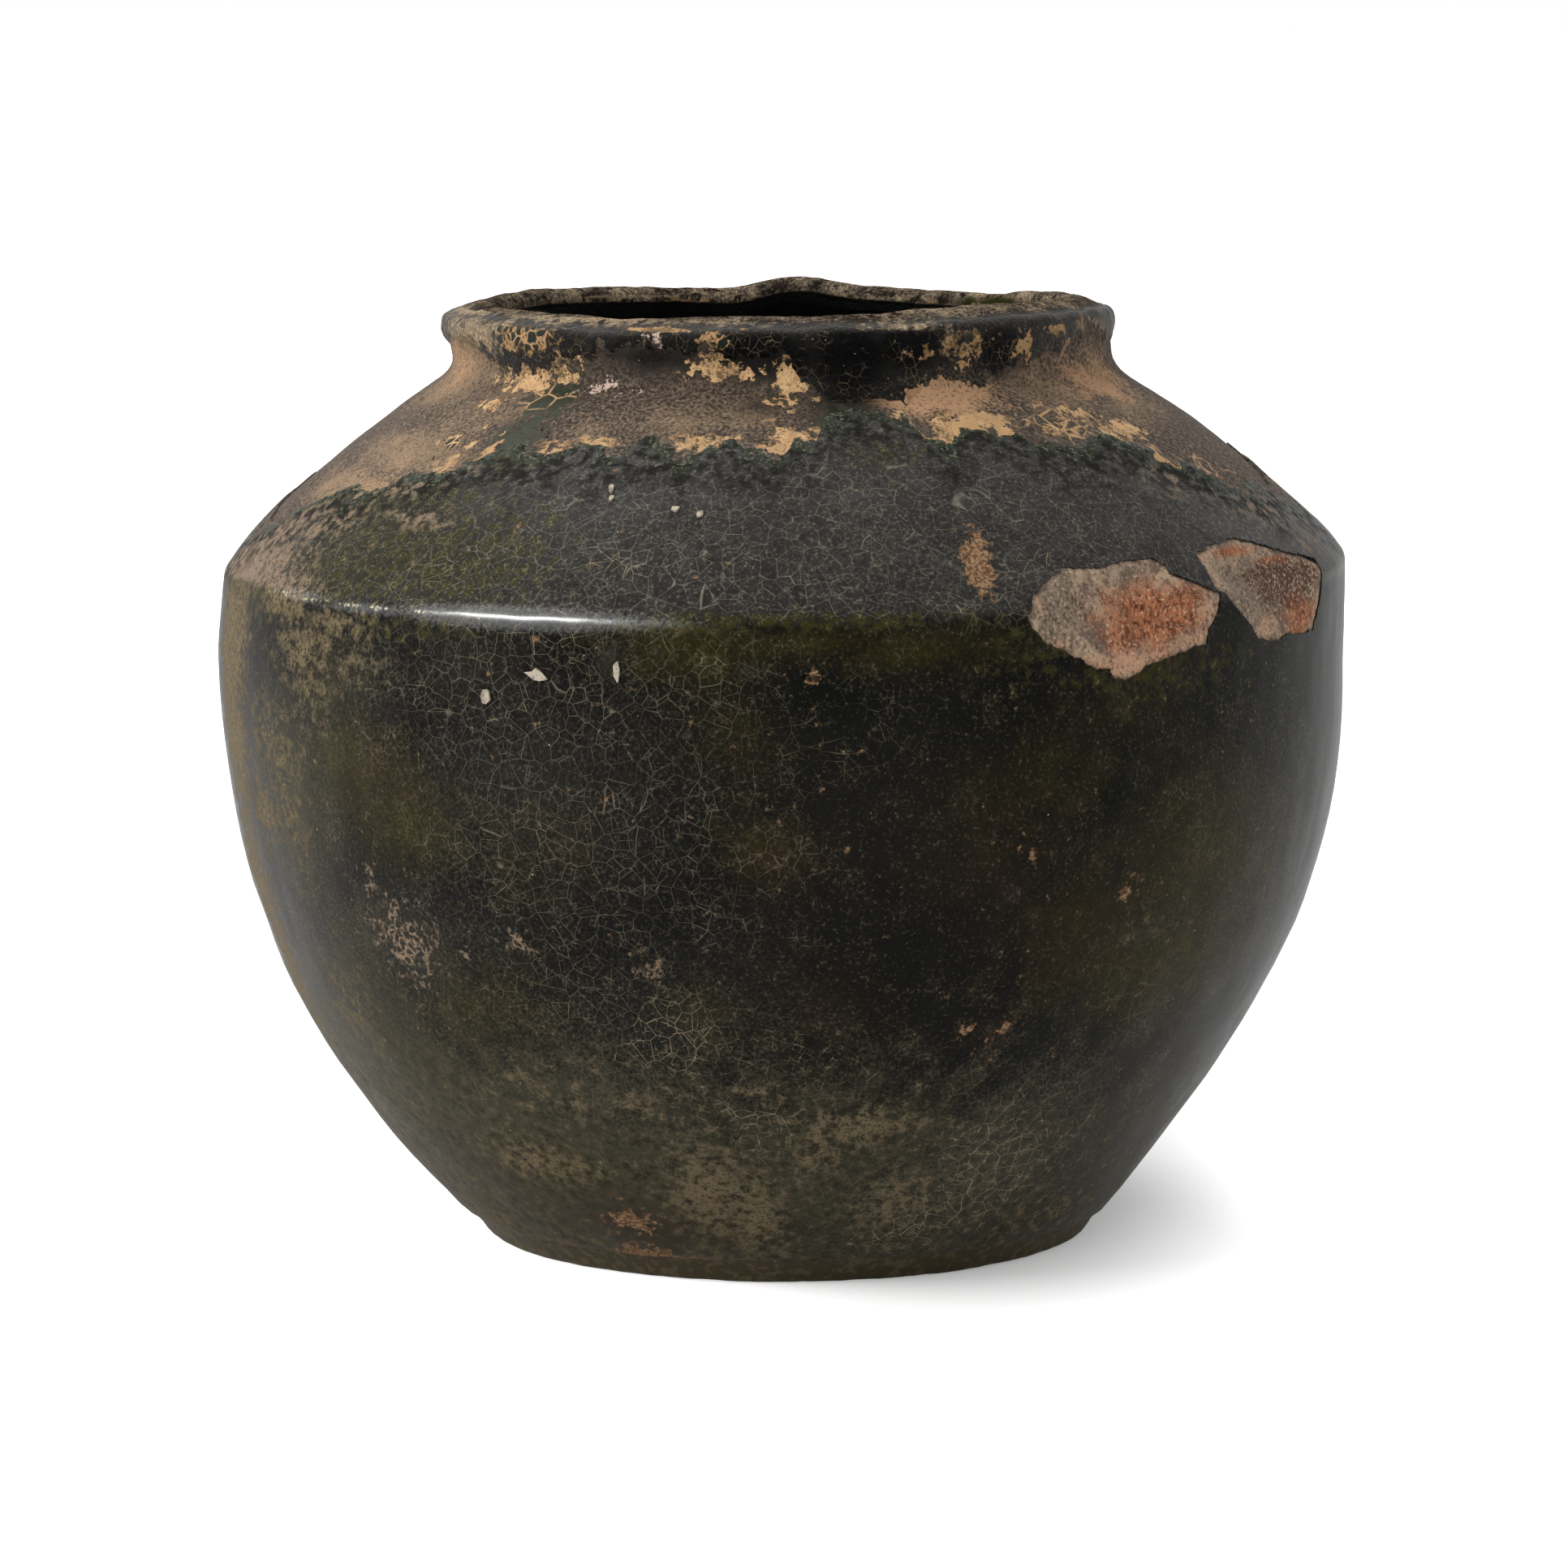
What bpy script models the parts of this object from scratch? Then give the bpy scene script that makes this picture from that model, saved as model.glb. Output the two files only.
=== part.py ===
"""A wide shouldered storage jar in lead-glazed earthenware.

The pot is thrown as four clay sections, a floor slab, a bowl, a shoulder ring and a collar, which sit on
each other on bevelled luting seams. A band of buff slip and three coats of glaze lie over the clay. Two
flakes have spalled off at the shoulder edge, through the glaze and into the clay.

Lengths are in metres, +Z is up, and the origin is the centre of the foot on the ground. An outline is a
list of (radius, height) points. An azimuth runs from the front of the jar (-Y) towards its right (+X).
"""
import math

import bmesh
import bpy
from mathutils import Vector

# Heights, each counted from the one before it
BELLY_HEIGHT = 0.170  # the ground to the widest line of the belly
EDGE_RISE = 0.0265  # the widest line to the shoulder edge
SHOULDER_RISE = 0.0521  # the shoulder edge to the root of the collar
COLLAR_RISE = 0.0237  # the root of the collar to the crest of the lip

# Outer radii of the clay
FOOT_RADIUS = 0.0885  # of the circle that rests on the ground
BELLY_RADIUS = 0.1644
EDGE_TUCK = 0.0008  # the belly's widest line to the shoulder edge, inwards
COLLAR_RADIUS = 0.0970
ROOT_FLARE = 0.0092  # the collar to the start of its fillet on the shoulder, outwards

# Thicknesses
WALL = 0.0090
FLOOR = 0.0120
LIP_THICKNESS = 0.0163
COAT = 0.0008  # of the glaze
SLIP = 0.0005

# Foot and floor
FOOT_TURN = 0.0030  # the rounding of the foot's edge
RING_WIDTH = 0.0180  # the band of the foot that touches the ground
HOLLOW_DEPTH = 0.0030  # the dish inside that band
HOLLOW_SLOPE = 0.0050
SEAM_FALL = 0.0030  # the bevel on which the bowl sits, from its inner to its outer edge
FLOOR_CORNER = 0.0160  # the floor's thickened corner, inside

# Lip
LIP_DROP = 0.0105  # the crest to where the lip runs into the collar
LIP_SWELL = 0.0010  # the lip's roll beyond the collar
NECK_CORNER = 0.0060  # the rounded inner corner under the collar

# Fits
SEAM_GAP = 0.0003
COAT_GAP = 0.0003

# Hand throwing: how far the form strays from true
LEAN = 0.0020
OVAL = 0.0006
OVAL_TURN = math.radians(-29)  # from the front to the oval's long axis
EDGE_WAVE = 0.0030
EDGE_REACH = 0.0280
LIP_WAVE = 0.0042

# Edges of the coats
GLAZE_FOOT_HEIGHT = 0.0120
LIP_COAT_REACH = 0.0240  # the longest run of glaze from the lip down the collar
INSIDE_COAT_DROP = 0.0040  # the lip coat's edge to the inside coat

# Spalls: the larger at the front right, the smaller beside it
SPALL_DEPTH = 0.0028
SPALL_RIM = 0.0002
LARGE_SPALL_WIDTH = 0.0660
LARGE_SPALL_HEIGHT = 0.0300
LARGE_SPALL_DROP = 0.0045  # the shoulder edge down to the spall's middle
SMALL_SPALL_WIDTH = 0.0590
SMALL_SPALL_HEIGHT = 0.0272
SMALL_SPALL_DROP = 0.0020
SPALL_MIDDLE_DEPTH = 0.0045
OVERRUN = 0.0060
WELD = 0.000001

SEGMENTS = 48

# Heights and radii that follow
EDGE_HEIGHT = BELLY_HEIGHT + EDGE_RISE
ROOT_HEIGHT = EDGE_HEIGHT + SHOULDER_RISE
HEIGHT = ROOT_HEIGHT + COLLAR_RISE
EDGE_RADIUS = BELLY_RADIUS - EDGE_TUCK
ROOT_RADIUS = COLLAR_RADIUS + ROOT_FLARE

# Angles from the upright
FOOT_LEAN = math.radians(40.5)
SHOULDER_START = math.radians(-27)
SHOULDER_END = math.radians(-57)

SHARP_ANGLE = math.radians(35)

# Handles of the curves, as shares of the rise or the run that each curve spans
BOWL_HANDLE_SHARES = (0.40, 0.44)
SHOULDER_HANDLE_SHARES = (0.13, 0.46)
FILLET_HANDLE_SHARES = (0.50, 0.45)
CORNER_HANDLE_SHARES = (0.60, 0.45)

# The lip's outline from the collar over the crest to its inner face: the share of the lip's thickness
# from the outside, and the share of the lip's drop below the crest
LIP_SHARES = (
    (0.00, 0.62),
    (0.01, 0.44),
    (0.10, 0.27),
    (0.38, 0.13),
    (0.68, 0.01),
    (0.86, 0.03),
    (0.97, 0.19),
    (1.00, 0.46),
)

# The centre line's stray to the right at equal steps of height, from the ground up
LEAN_SHARES = (0.8, -0.4, -0.4, 0.25, 0.35, 0.0, 0.65, 1.15, -0.5)

# Waves of the shoulder edge and of the lip, at equal steps round the jar from the front
EDGE_WAVE_SHARES = (-0.6, 0.4, 1.1, 0.6, 0.0, -0.3, -0.4, -0.75)
LIP_WAVE_SHARES = (
    0.14, 0.20, 0.50, 0.70, 0.65, 0.70, 0.60, 0.57, 0.50, 0.05, 0.20, 0.40,
    1.00, 0.15, 0.33, 0.40, 0.48, 0.30, 0.20, 0.12, 0.07, 0.00, -0.19, 0.00,
)

# The rows of points up the shoulder, as shares of its curve
SHOULDER_ROW_SHARES = (0, 0.08, 0.20, 0.40, 0.60, 0.80, 1)

# Where the outside glaze ends, as a share of the shoulder's curve, at equal steps round the jar
GLAZE_END_SHARES = (
    0.84, 0.92, 0.92, 0.86, 0.91, 0.80, 0.87, 0.84, 0.72, 0.58, 0.51, 0.47,
    0.52, 0.64, 0.70, 0.78, 0.68, 0.60, 0.63, 0.52, 0.58, 0.50, 0.60, 0.55,
    0.62, 0.68, 0.60, 0.66, 0.58, 0.64, 0.52, 0.57, 0.48, 0.54, 0.45, 0.38,
    0.33, 0.36, 0.42, 0.53, 0.61, 0.67, 0.74, 0.84, 0.82, 0.87, 0.83, 0.88,
)

# The width of the slip that shows above the glaze, as a share of the shoulder that is left there
SLIP_WIDTH_SHARES = (
    0.55, 0.30, 0.35, 0.60, 0.50, 0.40, 0.30, 0.45, 0.35, 0.25, 0.30, 0.20,
    0.25, 0.35, 0.30, 0.40, 0.25, 0.20, 0.30, 0.35, 0.25, 0.30, 0.45, 0.55,
)

# How far the lip's glaze runs down the outside, as a share of its longest run
LIP_COAT_SHARES = (
    0.45, 1.00, 0.70, 0.55, 0.50, 0.35, 0.20, 0.12, 0.20, 0.30, 0.22, 0.35,
    0.50, 0.30, 0.20, 0.35, 0.25, 0.15, 0.20, 0.12, 0.18, 0.30, 0.22, 0.40,
)

# Outlines of the spalls, as shares of half their width and half their height from the middle
LARGE_SPALL_SHARES = (
    (-1.00, 0.23), (-0.90, 0.57), (-0.56, 0.97), (-0.15, 0.93), (0.31, 1.00), (0.50, 0.91), (0.53, 0.72),
    (0.77, 0.53), (1.00, 0.31), (0.97, -0.02), (0.85, -0.25), (0.84, -0.52), (0.65, -0.54), (0.24, -0.76),
    (-0.06, -1.00), (-0.20, -0.76), (-0.35, -0.72), (-0.60, -0.49), (-0.84, -0.20),
)
SMALL_SPALL_SHARES = (
    (-1.00, 0.74), (-0.78, 0.92), (-0.38, 1.00), (-0.18, 0.91), (0.41, 0.57), (1.00, 0.27), (0.94, -0.10),
    (0.87, -0.56), (0.70, -0.97), (0.36, -1.00), (0.13, -0.90), (-0.25, -1.00), (-0.47, -0.88),
    (-0.66, -0.52), (-0.86, -0.12), (-1.00, 0.20),
)
SPALL_FLOOR_SHARE = 0.74  # a spall's floor to its rim, across
LARGE_SPALL_AZIMUTH = math.radians(35.3)
SMALL_SPALL_AZIMUTH = math.radians(58.8)


def smooth(share):
    """A share from 0 to 1 that starts and ends gently."""
    share = min(max(share, 0), 1)
    return share * share * (3 - 2 * share)


def around(shares, azimuth):
    """A value that changes smoothly round the jar through equally spaced shares."""
    place = azimuth / math.tau % 1 * len(shares)
    step = int(place)
    here, there = shares[step % len(shares)], shares[(step + 1) % len(shares)]
    return here + (there - here) * smooth(place - step)


def upward(shares, height):
    """A value that changes smoothly up the jar through equally spaced shares."""
    place = min(max(height / HEIGHT, 0), 1) * (len(shares) - 1)
    step = min(int(place), len(shares) - 2)
    return shares[step] + (shares[step + 1] - shares[step]) * smooth(place - step)


def thrown(azimuth, radius, height):
    """Where a point of the true turned form lies on the hand-thrown pot."""
    lean = LEAN * upward(LEAN_SHARES, height)
    radius *= 1 + OVAL / BELLY_RADIUS * math.cos(2 * (azimuth - OVAL_TURN))
    edge = smooth(1 - abs(height - EDGE_HEIGHT) / EDGE_REACH)
    crest = smooth((height - ROOT_HEIGHT) / COLLAR_RISE)
    height += EDGE_WAVE * around(EDGE_WAVE_SHARES, azimuth) * edge
    height += LIP_WAVE * around(LIP_WAVE_SHARES, azimuth) * crest
    return Vector((radius * math.sin(azimuth) + lean, -radius * math.cos(azimuth), height))


def leaning(angle):
    """The direction in an outline at an angle from the upright, outwards if positive."""
    return Vector((math.sin(angle), math.cos(angle)))


def on_curve(handles, share):
    """The point at a share of the way along a curve, by lerps between its handles."""
    while len(handles) > 1:
        handles = [a.lerp(b, share) for a, b in zip(handles, handles[1:])]
    return handles[0]


def curve(handles, steps):
    return [on_curve(handles, step / steps) for step in range(steps + 1)]


def offset(outline, distance):
    """The outline moved to its left-hand side, with mitred corners."""
    runs = [(b - a).normalized() for a, b in zip(outline, outline[1:])]
    moved = []
    for point, before, after in zip(outline, runs[:1] + runs, runs + runs[-1:]):
        along = (before + after).normalized()
        moved.append(point + Vector((-along.y, along.x)) * distance / along.dot(before))
    return moved


def at_height(outline, height):
    """The point at a height on a rising outline."""
    for low, high in zip(outline, outline[1:]):
        if height <= high.y:
            break
    return low.lerp(high, (height - low.y) / (high.y - low.y))


def walked(outline, distance):
    """The point at a distance along an outline."""
    for start, end in zip(outline, outline[1:]):
        length = (end - start).length
        if distance <= length:
            break
        distance -= length
    return start.lerp(end, distance / length)


# Outside of the clay, from the ground up
foot = Vector((FOOT_RADIUS, 0))
turn_end = foot + Vector((FOOT_TURN, FOOT_TURN))
foot_turn = curve([foot, foot.lerp(Vector((turn_end.x, 0)), 0.5), turn_end], 2)
slab_rise = FLOOR - SEAM_FALL - FOOT_TURN
seat_outer = turn_end + leaning(FOOT_LEAN) * slab_rise / math.cos(FOOT_LEAN)
seat_inner = Vector((seat_outer.x - FLOOR_CORNER, FLOOR))

bowl_start = seat_outer + leaning(FOOT_LEAN) * SEAM_GAP / math.cos(FOOT_LEAN)
belly = Vector((BELLY_RADIUS, BELLY_HEIGHT))
bowl_rise = BELLY_HEIGHT - bowl_start.y
bowl = curve([
    bowl_start,
    bowl_start + leaning(FOOT_LEAN) * bowl_rise * BOWL_HANDLE_SHARES[0],
    belly - leaning(0) * bowl_rise * BOWL_HANDLE_SHARES[1],
    belly,
], 7)
edge = Vector((EDGE_RADIUS, EDGE_HEIGHT))
brow = curve([belly, belly + leaning(0) * EDGE_RISE / 2, edge], 2)

root = Vector((ROOT_RADIUS, ROOT_HEIGHT))
shoulder_span = (root - edge).length
shoulder_handles = [
    edge,
    edge + leaning(SHOULDER_START) * shoulder_span * SHOULDER_HANDLE_SHARES[0],
    root - leaning(SHOULDER_END) * shoulder_span * SHOULDER_HANDLE_SHARES[1],
    root,
]
shoulder_rows = [on_curve(shoulder_handles, share) for share in SHOULDER_ROW_SHARES]

collar_foot = Vector((COLLAR_RADIUS, ROOT_HEIGHT + ROOT_FLARE))
fillet = curve([
    root,
    root + leaning(SHOULDER_END) * ROOT_FLARE * FILLET_HANDLE_SHARES[0],
    collar_foot - leaning(0) * ROOT_FLARE * FILLET_HANDLE_SHARES[1],
    collar_foot,
], 3)
collar_top = Vector((COLLAR_RADIUS, HEIGHT - LIP_DROP))
lip_radius = COLLAR_RADIUS + LIP_SWELL
lip = [
    Vector((lip_radius - across * LIP_THICKNESS, HEIGHT - down * LIP_DROP))
    for across, down in LIP_SHARES
]

# Inside of the clay, from the floor up
wall_outside = bowl + brow[1:] + shoulder_rows[1:]
edge_row = wall_outside.index(edge)
wall_inside = offset(wall_outside, WALL)
bowl_inside = wall_inside[1:edge_row + 1:2]
shoulder_inside = wall_inside[edge_row::2]
toe = seat_inner + leaning(0) * SEAM_GAP
floor_corner = curve([
    toe,
    toe + Vector((FLOOR_CORNER, 0)) * CORNER_HANDLE_SHARES[0],
    bowl_inside[0] - leaning(FOOT_LEAN) * FLOOR_CORNER * CORNER_HANDLE_SHARES[1],
    bowl_inside[0],
], 3)
neck_radius = lip_radius - LIP_THICKNESS
inner_root = shoulder_inside[-1]
neck_point = Vector((neck_radius, inner_root.y + (inner_root.x - neck_radius) / math.tan(-SHOULDER_END)))
neck = curve([
    neck_point - leaning(SHOULDER_END) * NECK_CORNER,
    neck_point,
    neck_point + leaning(0) * NECK_CORNER,
], 3)

# The gaps of the two upper seams
up_shoulder = leaning(SHOULDER_START) * SEAM_GAP
up_collar = leaning(SHOULDER_END) * SEAM_GAP

SLAB = [
    Vector((0, HOLLOW_DEPTH)),
    foot - Vector((RING_WIDTH + HOLLOW_SLOPE, -HOLLOW_DEPTH)),
    foot - Vector((RING_WIDTH, 0)),
    *foot_turn,
    seat_outer,
    seat_inner,
    Vector((0, FLOOR)),
]
BOWL = bowl + brow[1:] + bowl_inside[::-1] + floor_corner[2::-1]
SHOULDER = [edge + up_shoulder, *shoulder_rows[1:], *shoulder_inside[:0:-1], shoulder_inside[0] + up_shoulder]
COLLAR = [root + up_collar, *fillet[1:], collar_top, *lip, *neck[::-1], inner_root + up_collar]


def coat(outline, thickness):
    """A closed section that lies over the outline, which has the clay on its left."""
    return offset(outline, -COAT_GAP) + offset(outline, -COAT_GAP - thickness)[::-1]


def outer_glaze_section(azimuth):
    end = around(GLAZE_END_SHARES, azimuth)
    start = SHOULDER_ROW_SHARES[2]
    ragged = [on_curve(shoulder_handles, start + (end - start) * row / 4) for row in (1, 2, 3, 4)]
    low = at_height(bowl, GLAZE_FOOT_HEIGHT)
    return coat([low, *bowl[1:], *brow[1:], *shoulder_rows[1:3], *ragged], COAT)


def slip_section(azimuth):
    start = around(GLAZE_END_SHARES, azimuth) + COAT_GAP / shoulder_span
    end = start + (1 - start) * around(SLIP_WIDTH_SHARES, azimuth)
    return coat([on_curve(shoulder_handles, start + (end - start) * row / 2) for row in range(3)], SLIP)


def lip_glaze_section(azimuth):
    run = LIP_COAT_REACH * around(LIP_COAT_SHARES, azimuth)
    downward = [lip[0], collar_top, *fillet[::-1], *shoulder_rows[-2::-1]]
    ragged = [walked(downward, run * row / 3) for row in (3, 2, 1)]
    return coat([*ragged, *lip], COAT)


def inner_glaze_section(azimuth):
    top = Vector((neck_radius, lip[-1].y - INSIDE_COAT_DROP))
    centre = Vector((0, toe.y))
    outline = [centre, *floor_corner, *bowl_inside[1:], *shoulder_inside[1:], *neck, top]
    return coat(outline[::-1], COAT)


def finish(name, colour, roughness):
    """A glossy or matt ceramic surface."""
    material = bpy.data.materials.new(name)
    material.use_nodes = True
    shader = material.node_tree.nodes["Principled BSDF"]
    shader.inputs["Base Color"].default_value = (*colour, 1)
    shader.inputs["Roughness"].default_value = roughness
    shader.inputs["Metallic"].default_value = 0
    return material


def made(name, body, material=None):
    """Turns a closed shape into an object of the scene."""
    bmesh.ops.recalc_face_normals(body, faces=body.faces)
    mesh = bpy.data.meshes.new(name)
    body.to_mesh(mesh)
    body.free()
    mesh.shade_smooth()
    mesh.set_sharp_from_angle(angle=SHARP_ANGLE)
    if material:
        mesh.materials.append(material)
    piece = bpy.data.objects.new(name, mesh)
    bpy.context.scene.collection.objects.link(piece)
    return piece


def throw(name, section, material):
    """Joins a piece's outlines, which section gives for each azimuth, into one body round the axis."""
    body = bmesh.new()
    columns = []
    for step in range(SEGMENTS):
        azimuth = math.tau * step / SEGMENTS
        columns.append([body.verts.new(thrown(azimuth, *point)) for point in section(azimuth)])
    for here, there in zip(columns, columns[1:] + columns[:1]):
        for row in range(len(here)):
            body.faces.new((here[row - 1], there[row - 1], there[row], here[row]))
    bmesh.ops.remove_doubles(body, verts=body.verts, dist=WELD)
    # The shorter diagonals keep a ragged coat clear of the clay
    bmesh.ops.triangulate(body, faces=body.faces, quad_method="SHORT_EDGE")
    return made(name, body, material)


def spall(name, azimuth, drop, width, height, shares):
    """The shape of a flake that broke off at the shoulder edge, from outside the glaze into the clay."""
    middle = EDGE_HEIGHT - drop

    def ring(share, sink):
        points = []
        for across, up in shares:
            level = middle + up * share * height / 2
            surface = at_height(wall_outside, level).x
            turn = across * share * width / 2 / EDGE_RADIUS
            points.append(thrown(azimuth + turn, surface - sink, level))
        return points

    body = bmesh.new()
    rings = [ring(1, -OVERRUN), ring(1, SPALL_RIM), ring(SPALL_FLOOR_SHARE, SPALL_DEPTH)]
    rings = [[body.verts.new(point) for point in points] for points in rings]
    for here, there in zip(rings, rings[1:]):
        for step in range(len(shares)):
            body.faces.new((here[step - 1], there[step - 1], there[step], here[step]))
    for points, sink in ((rings[0], -OVERRUN), (rings[-1], SPALL_MIDDLE_DEPTH)):
        centre = body.verts.new(thrown(azimuth, EDGE_RADIUS - sink, middle))
        for step in range(len(shares)):
            body.faces.new((points[step - 1], points[step], centre))
    cutter = made(name, body)
    cutter.hide_render = True
    cutter.display_type = "WIRE"
    return cutter


def cut(piece, cutters):
    for cutter in cutters:
        modifier = piece.modifiers.new(cutter.name, "BOOLEAN")
        modifier.operation = "DIFFERENCE"
        modifier.solver = "EXACT"
        modifier.object = cutter


for old in list(bpy.data.objects):
    bpy.data.objects.remove(old, do_unlink=True)

# Name, section, surface, colour and roughness
PIECES = (
    ("base_disc", lambda azimuth: SLAB, "fired_clay_foot", (0.060, 0.045, 0.030), 0.85),
    ("lower_wall", lambda azimuth: BOWL, "fired_clay_wall", (0.330, 0.120, 0.070), 0.90),
    ("shoulder", lambda azimuth: SHOULDER, "fired_clay_shoulder", (0.160, 0.110, 0.075), 0.85),
    ("collar", lambda azimuth: COLLAR, "fired_clay_collar", (0.180, 0.125, 0.085), 0.80),
    ("outer_glaze", outer_glaze_section, "dark_lead_glaze", (0.016, 0.018, 0.011), 0.25),
    ("slip_band", slip_section, "buff_slip", (0.420, 0.250, 0.100), 0.80),
    ("lip_glaze", lip_glaze_section, "worn_lip_glaze", (0.030, 0.027, 0.022), 0.45),
    ("inner_glaze", inner_glaze_section, "black_inside_glaze", (0.010, 0.010, 0.008), 0.15),
)
pieces = {
    name: throw(name, section, finish(surface, colour, roughness))
    for name, section, surface, colour, roughness in PIECES
}

spalls = [
    spall(
        "large_spall", LARGE_SPALL_AZIMUTH, LARGE_SPALL_DROP, LARGE_SPALL_WIDTH, LARGE_SPALL_HEIGHT,
        LARGE_SPALL_SHARES,
    ),
    spall(
        "small_spall", SMALL_SPALL_AZIMUTH, SMALL_SPALL_DROP, SMALL_SPALL_WIDTH, SMALL_SPALL_HEIGHT,
        SMALL_SPALL_SHARES,
    ),
]
for name in ("lower_wall", "shoulder", "outer_glaze"):
    cut(pieces[name], spalls)
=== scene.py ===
# %% [markdown]
# # A glazed storage jar
#
# This is a wide jar of lead-glazed earthenware. It was thrown on a wheel, dipped in slip and glaze, and then
# used for a long time. The frame below holds its plain solids, which already have the right size and place.
# Here they are dressed: each coat of the real pot becomes a fine mesh of its own with a procedural finish.

# %% Load the frame
import math

import bpy
import numpy as np
from mathutils import Matrix, Vector, noise


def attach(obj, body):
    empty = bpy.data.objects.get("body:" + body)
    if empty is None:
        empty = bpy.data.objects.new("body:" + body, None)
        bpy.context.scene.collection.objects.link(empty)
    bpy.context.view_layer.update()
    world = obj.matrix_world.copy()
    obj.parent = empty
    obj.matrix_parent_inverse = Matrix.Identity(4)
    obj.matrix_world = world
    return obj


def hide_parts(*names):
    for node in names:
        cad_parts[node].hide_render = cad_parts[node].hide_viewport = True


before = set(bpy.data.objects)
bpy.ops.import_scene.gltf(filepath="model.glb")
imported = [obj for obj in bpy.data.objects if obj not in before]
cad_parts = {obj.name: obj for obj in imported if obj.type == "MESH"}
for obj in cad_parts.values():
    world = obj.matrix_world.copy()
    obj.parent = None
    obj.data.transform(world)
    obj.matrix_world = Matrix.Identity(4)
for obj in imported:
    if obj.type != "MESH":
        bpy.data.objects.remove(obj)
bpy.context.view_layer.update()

print("nodes:", sorted(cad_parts))

# %% [markdown]
# ## The camera and the studio
#
# The camera comes first, so that each piece can be looked at while it is made. The photograph was taken with
# a long lens from a little above the shoulder: the foot, the shoulder edge and the mouth each show as a flat
# ellipse, and a camera whose distance, height and tilt draw all three alike is the one used here.

# %% Camera
CAMERA_DISTANCE = 1.716  # in front of the jar's axis
CAMERA_HEIGHT = 0.354
CAMERA_TILT = math.radians(7.4)  # downwards
LENS_MM = 134.5
SENSOR_MM = 36
FRAME_SHIFT = 0.0009  # the jar stands this far left of the middle of the picture


def select_nothing():
    for piece in bpy.context.selected_objects:
        piece.select_set(False)


def new(name, operator, **given):
    """Adds an object with one of Blender's operators. It is named, and selected alone."""
    select_nothing()
    operator(**given)
    piece = bpy.context.active_object
    piece.name = piece.data.name = name
    return piece


camera = new(
    "photo_camera", bpy.ops.object.camera_add, location=(FRAME_SHIFT, -CAMERA_DISTANCE, CAMERA_HEIGHT),
    rotation=(math.pi / 2 - CAMERA_TILT, 0, 0),
)
camera.data.lens = LENS_MM
camera.data.sensor_width = SENSOR_MM
bpy.context.scene.camera = camera
print("camera at", tuple(round(value, 3) for value in camera.location))

# %% [markdown]
# ## Nodes and colours
#
# A finish is written with one helper, which adds a node, sets it up and links what it is given. Colours are
# picked as sRGB hex values, as a colour chart gives them, and turned into the linear values that light uses.


# %% Helpers for the finishes
def linear(hex_colour):
    """An sRGB hex value, such as 8a6a3f, as an opaque linear colour."""
    shares = [int(hex_colour[place:place + 2], 16) / 255 for place in (0, 2, 4)]
    return (*(s / 12.92 if s <= 0.04045 else ((s + 0.055) / 1.055) ** 2.4 for s in shares), 1.0)


def add(tree, kind, given=None, **settings):
    """Adds a node with its settings, links or sets what is given, and gives back its first output in use."""
    node = tree.nodes.new("ShaderNode" + kind)
    for name, value in settings.items():
        setattr(node, name, value)
    for socket, value in (given or {}).items():
        if isinstance(value, bpy.types.NodeSocket):
            tree.links.new(value, node.inputs[socket])
        else:
            node.inputs[socket].default_value = value
    return next((output for output in node.outputs if output.enabled), None)


# %% [markdown]
# ## The paper and the lamps
#
# The jar stands on white paper that runs up behind it, and only a soft shadow shows to the right of its foot.
# Strong light could make the paper that white, but it would fade the jar. So the paper and the room glow for
# the camera and for reflections alone. Two plain softboxes light the jar: a narrow one at the left, whose
# reflection is the bright line on the shoulder edge, and a wide one above and behind.

# %% Paper
FLOOR_SIZE = 400
SHADOW_SHIFT, SHADOW_STRETCH = (-0.5, -0.56, 0), (10, 2.8, 0)  # an ellipse at x 0.05, y 0.20, behind the foot
SHADOW_RIM = (0.60, 1.22)  # where its soft rim begins and ends
GLOW = (0.20, 0.82)  # what the camera sees the paper give off, inside the ellipse and outside it


def seen_directly(tree):
    """1 for what the camera, a mirror or glass sees, and 0 for the light that falls on the jar."""
    path = add(tree, "LightPath").node.outputs
    mirrored = add(tree, "Math", {0: path["Is Camera Ray"], 1: path["Is Glossy Ray"]}, operation="ADD")
    return add(tree, "Math", {0: mirrored, 1: path["Is Transmission Ray"]}, operation="ADD", use_clamp=True)


def plain_floor():
    material = bpy.data.materials.new("matt_white_paper_sweep")
    material.use_nodes = True
    tree = material.node_tree
    tree.nodes.clear()
    place = add(tree, "TexCoord").node.outputs["Object"]
    spot = add(tree, "Mapping", {"Vector": place, "Location": SHADOW_SHIFT, "Scale": SHADOW_STRETCH})
    away = add(tree, "VectorMath", {0: spot}, operation="LENGTH").node.outputs["Value"]
    glow = add(
        tree, "MapRange", {"Value": away, 1: SHADOW_RIM[0], 2: SHADOW_RIM[1], 3: GLOW[0], 4: GLOW[1]},
        interpolation_type="SMOOTHSTEP",
    )
    lift = add(tree, "Math", {0: seen_directly(tree), 1: glow}, operation="MULTIPLY")
    paper = add(tree, "BsdfDiffuse", {"Color": (0.8, 0.8, 0.8, 1)})
    white = add(tree, "Emission", {"Color": (1, 1, 1, 1), "Strength": lift})
    add(tree, "OutputMaterial", {"Surface": add(tree, "AddShader", {0: paper, 1: white})})
    return material


floor = new("paper_floor", bpy.ops.mesh.primitive_plane_add, size=FLOOR_SIZE, location=(0, 0, 0))
floor.data.materials.append(plain_floor())
print("paper:", FLOOR_SIZE, "m wide")

# %% Room and lamps
ROOM_LIGHT = 0.6  # on the jar, while the camera sees plain white
LAMP_WATTS = 20
LAMP_TARGET = Vector((0, 0, 0.15))

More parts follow.
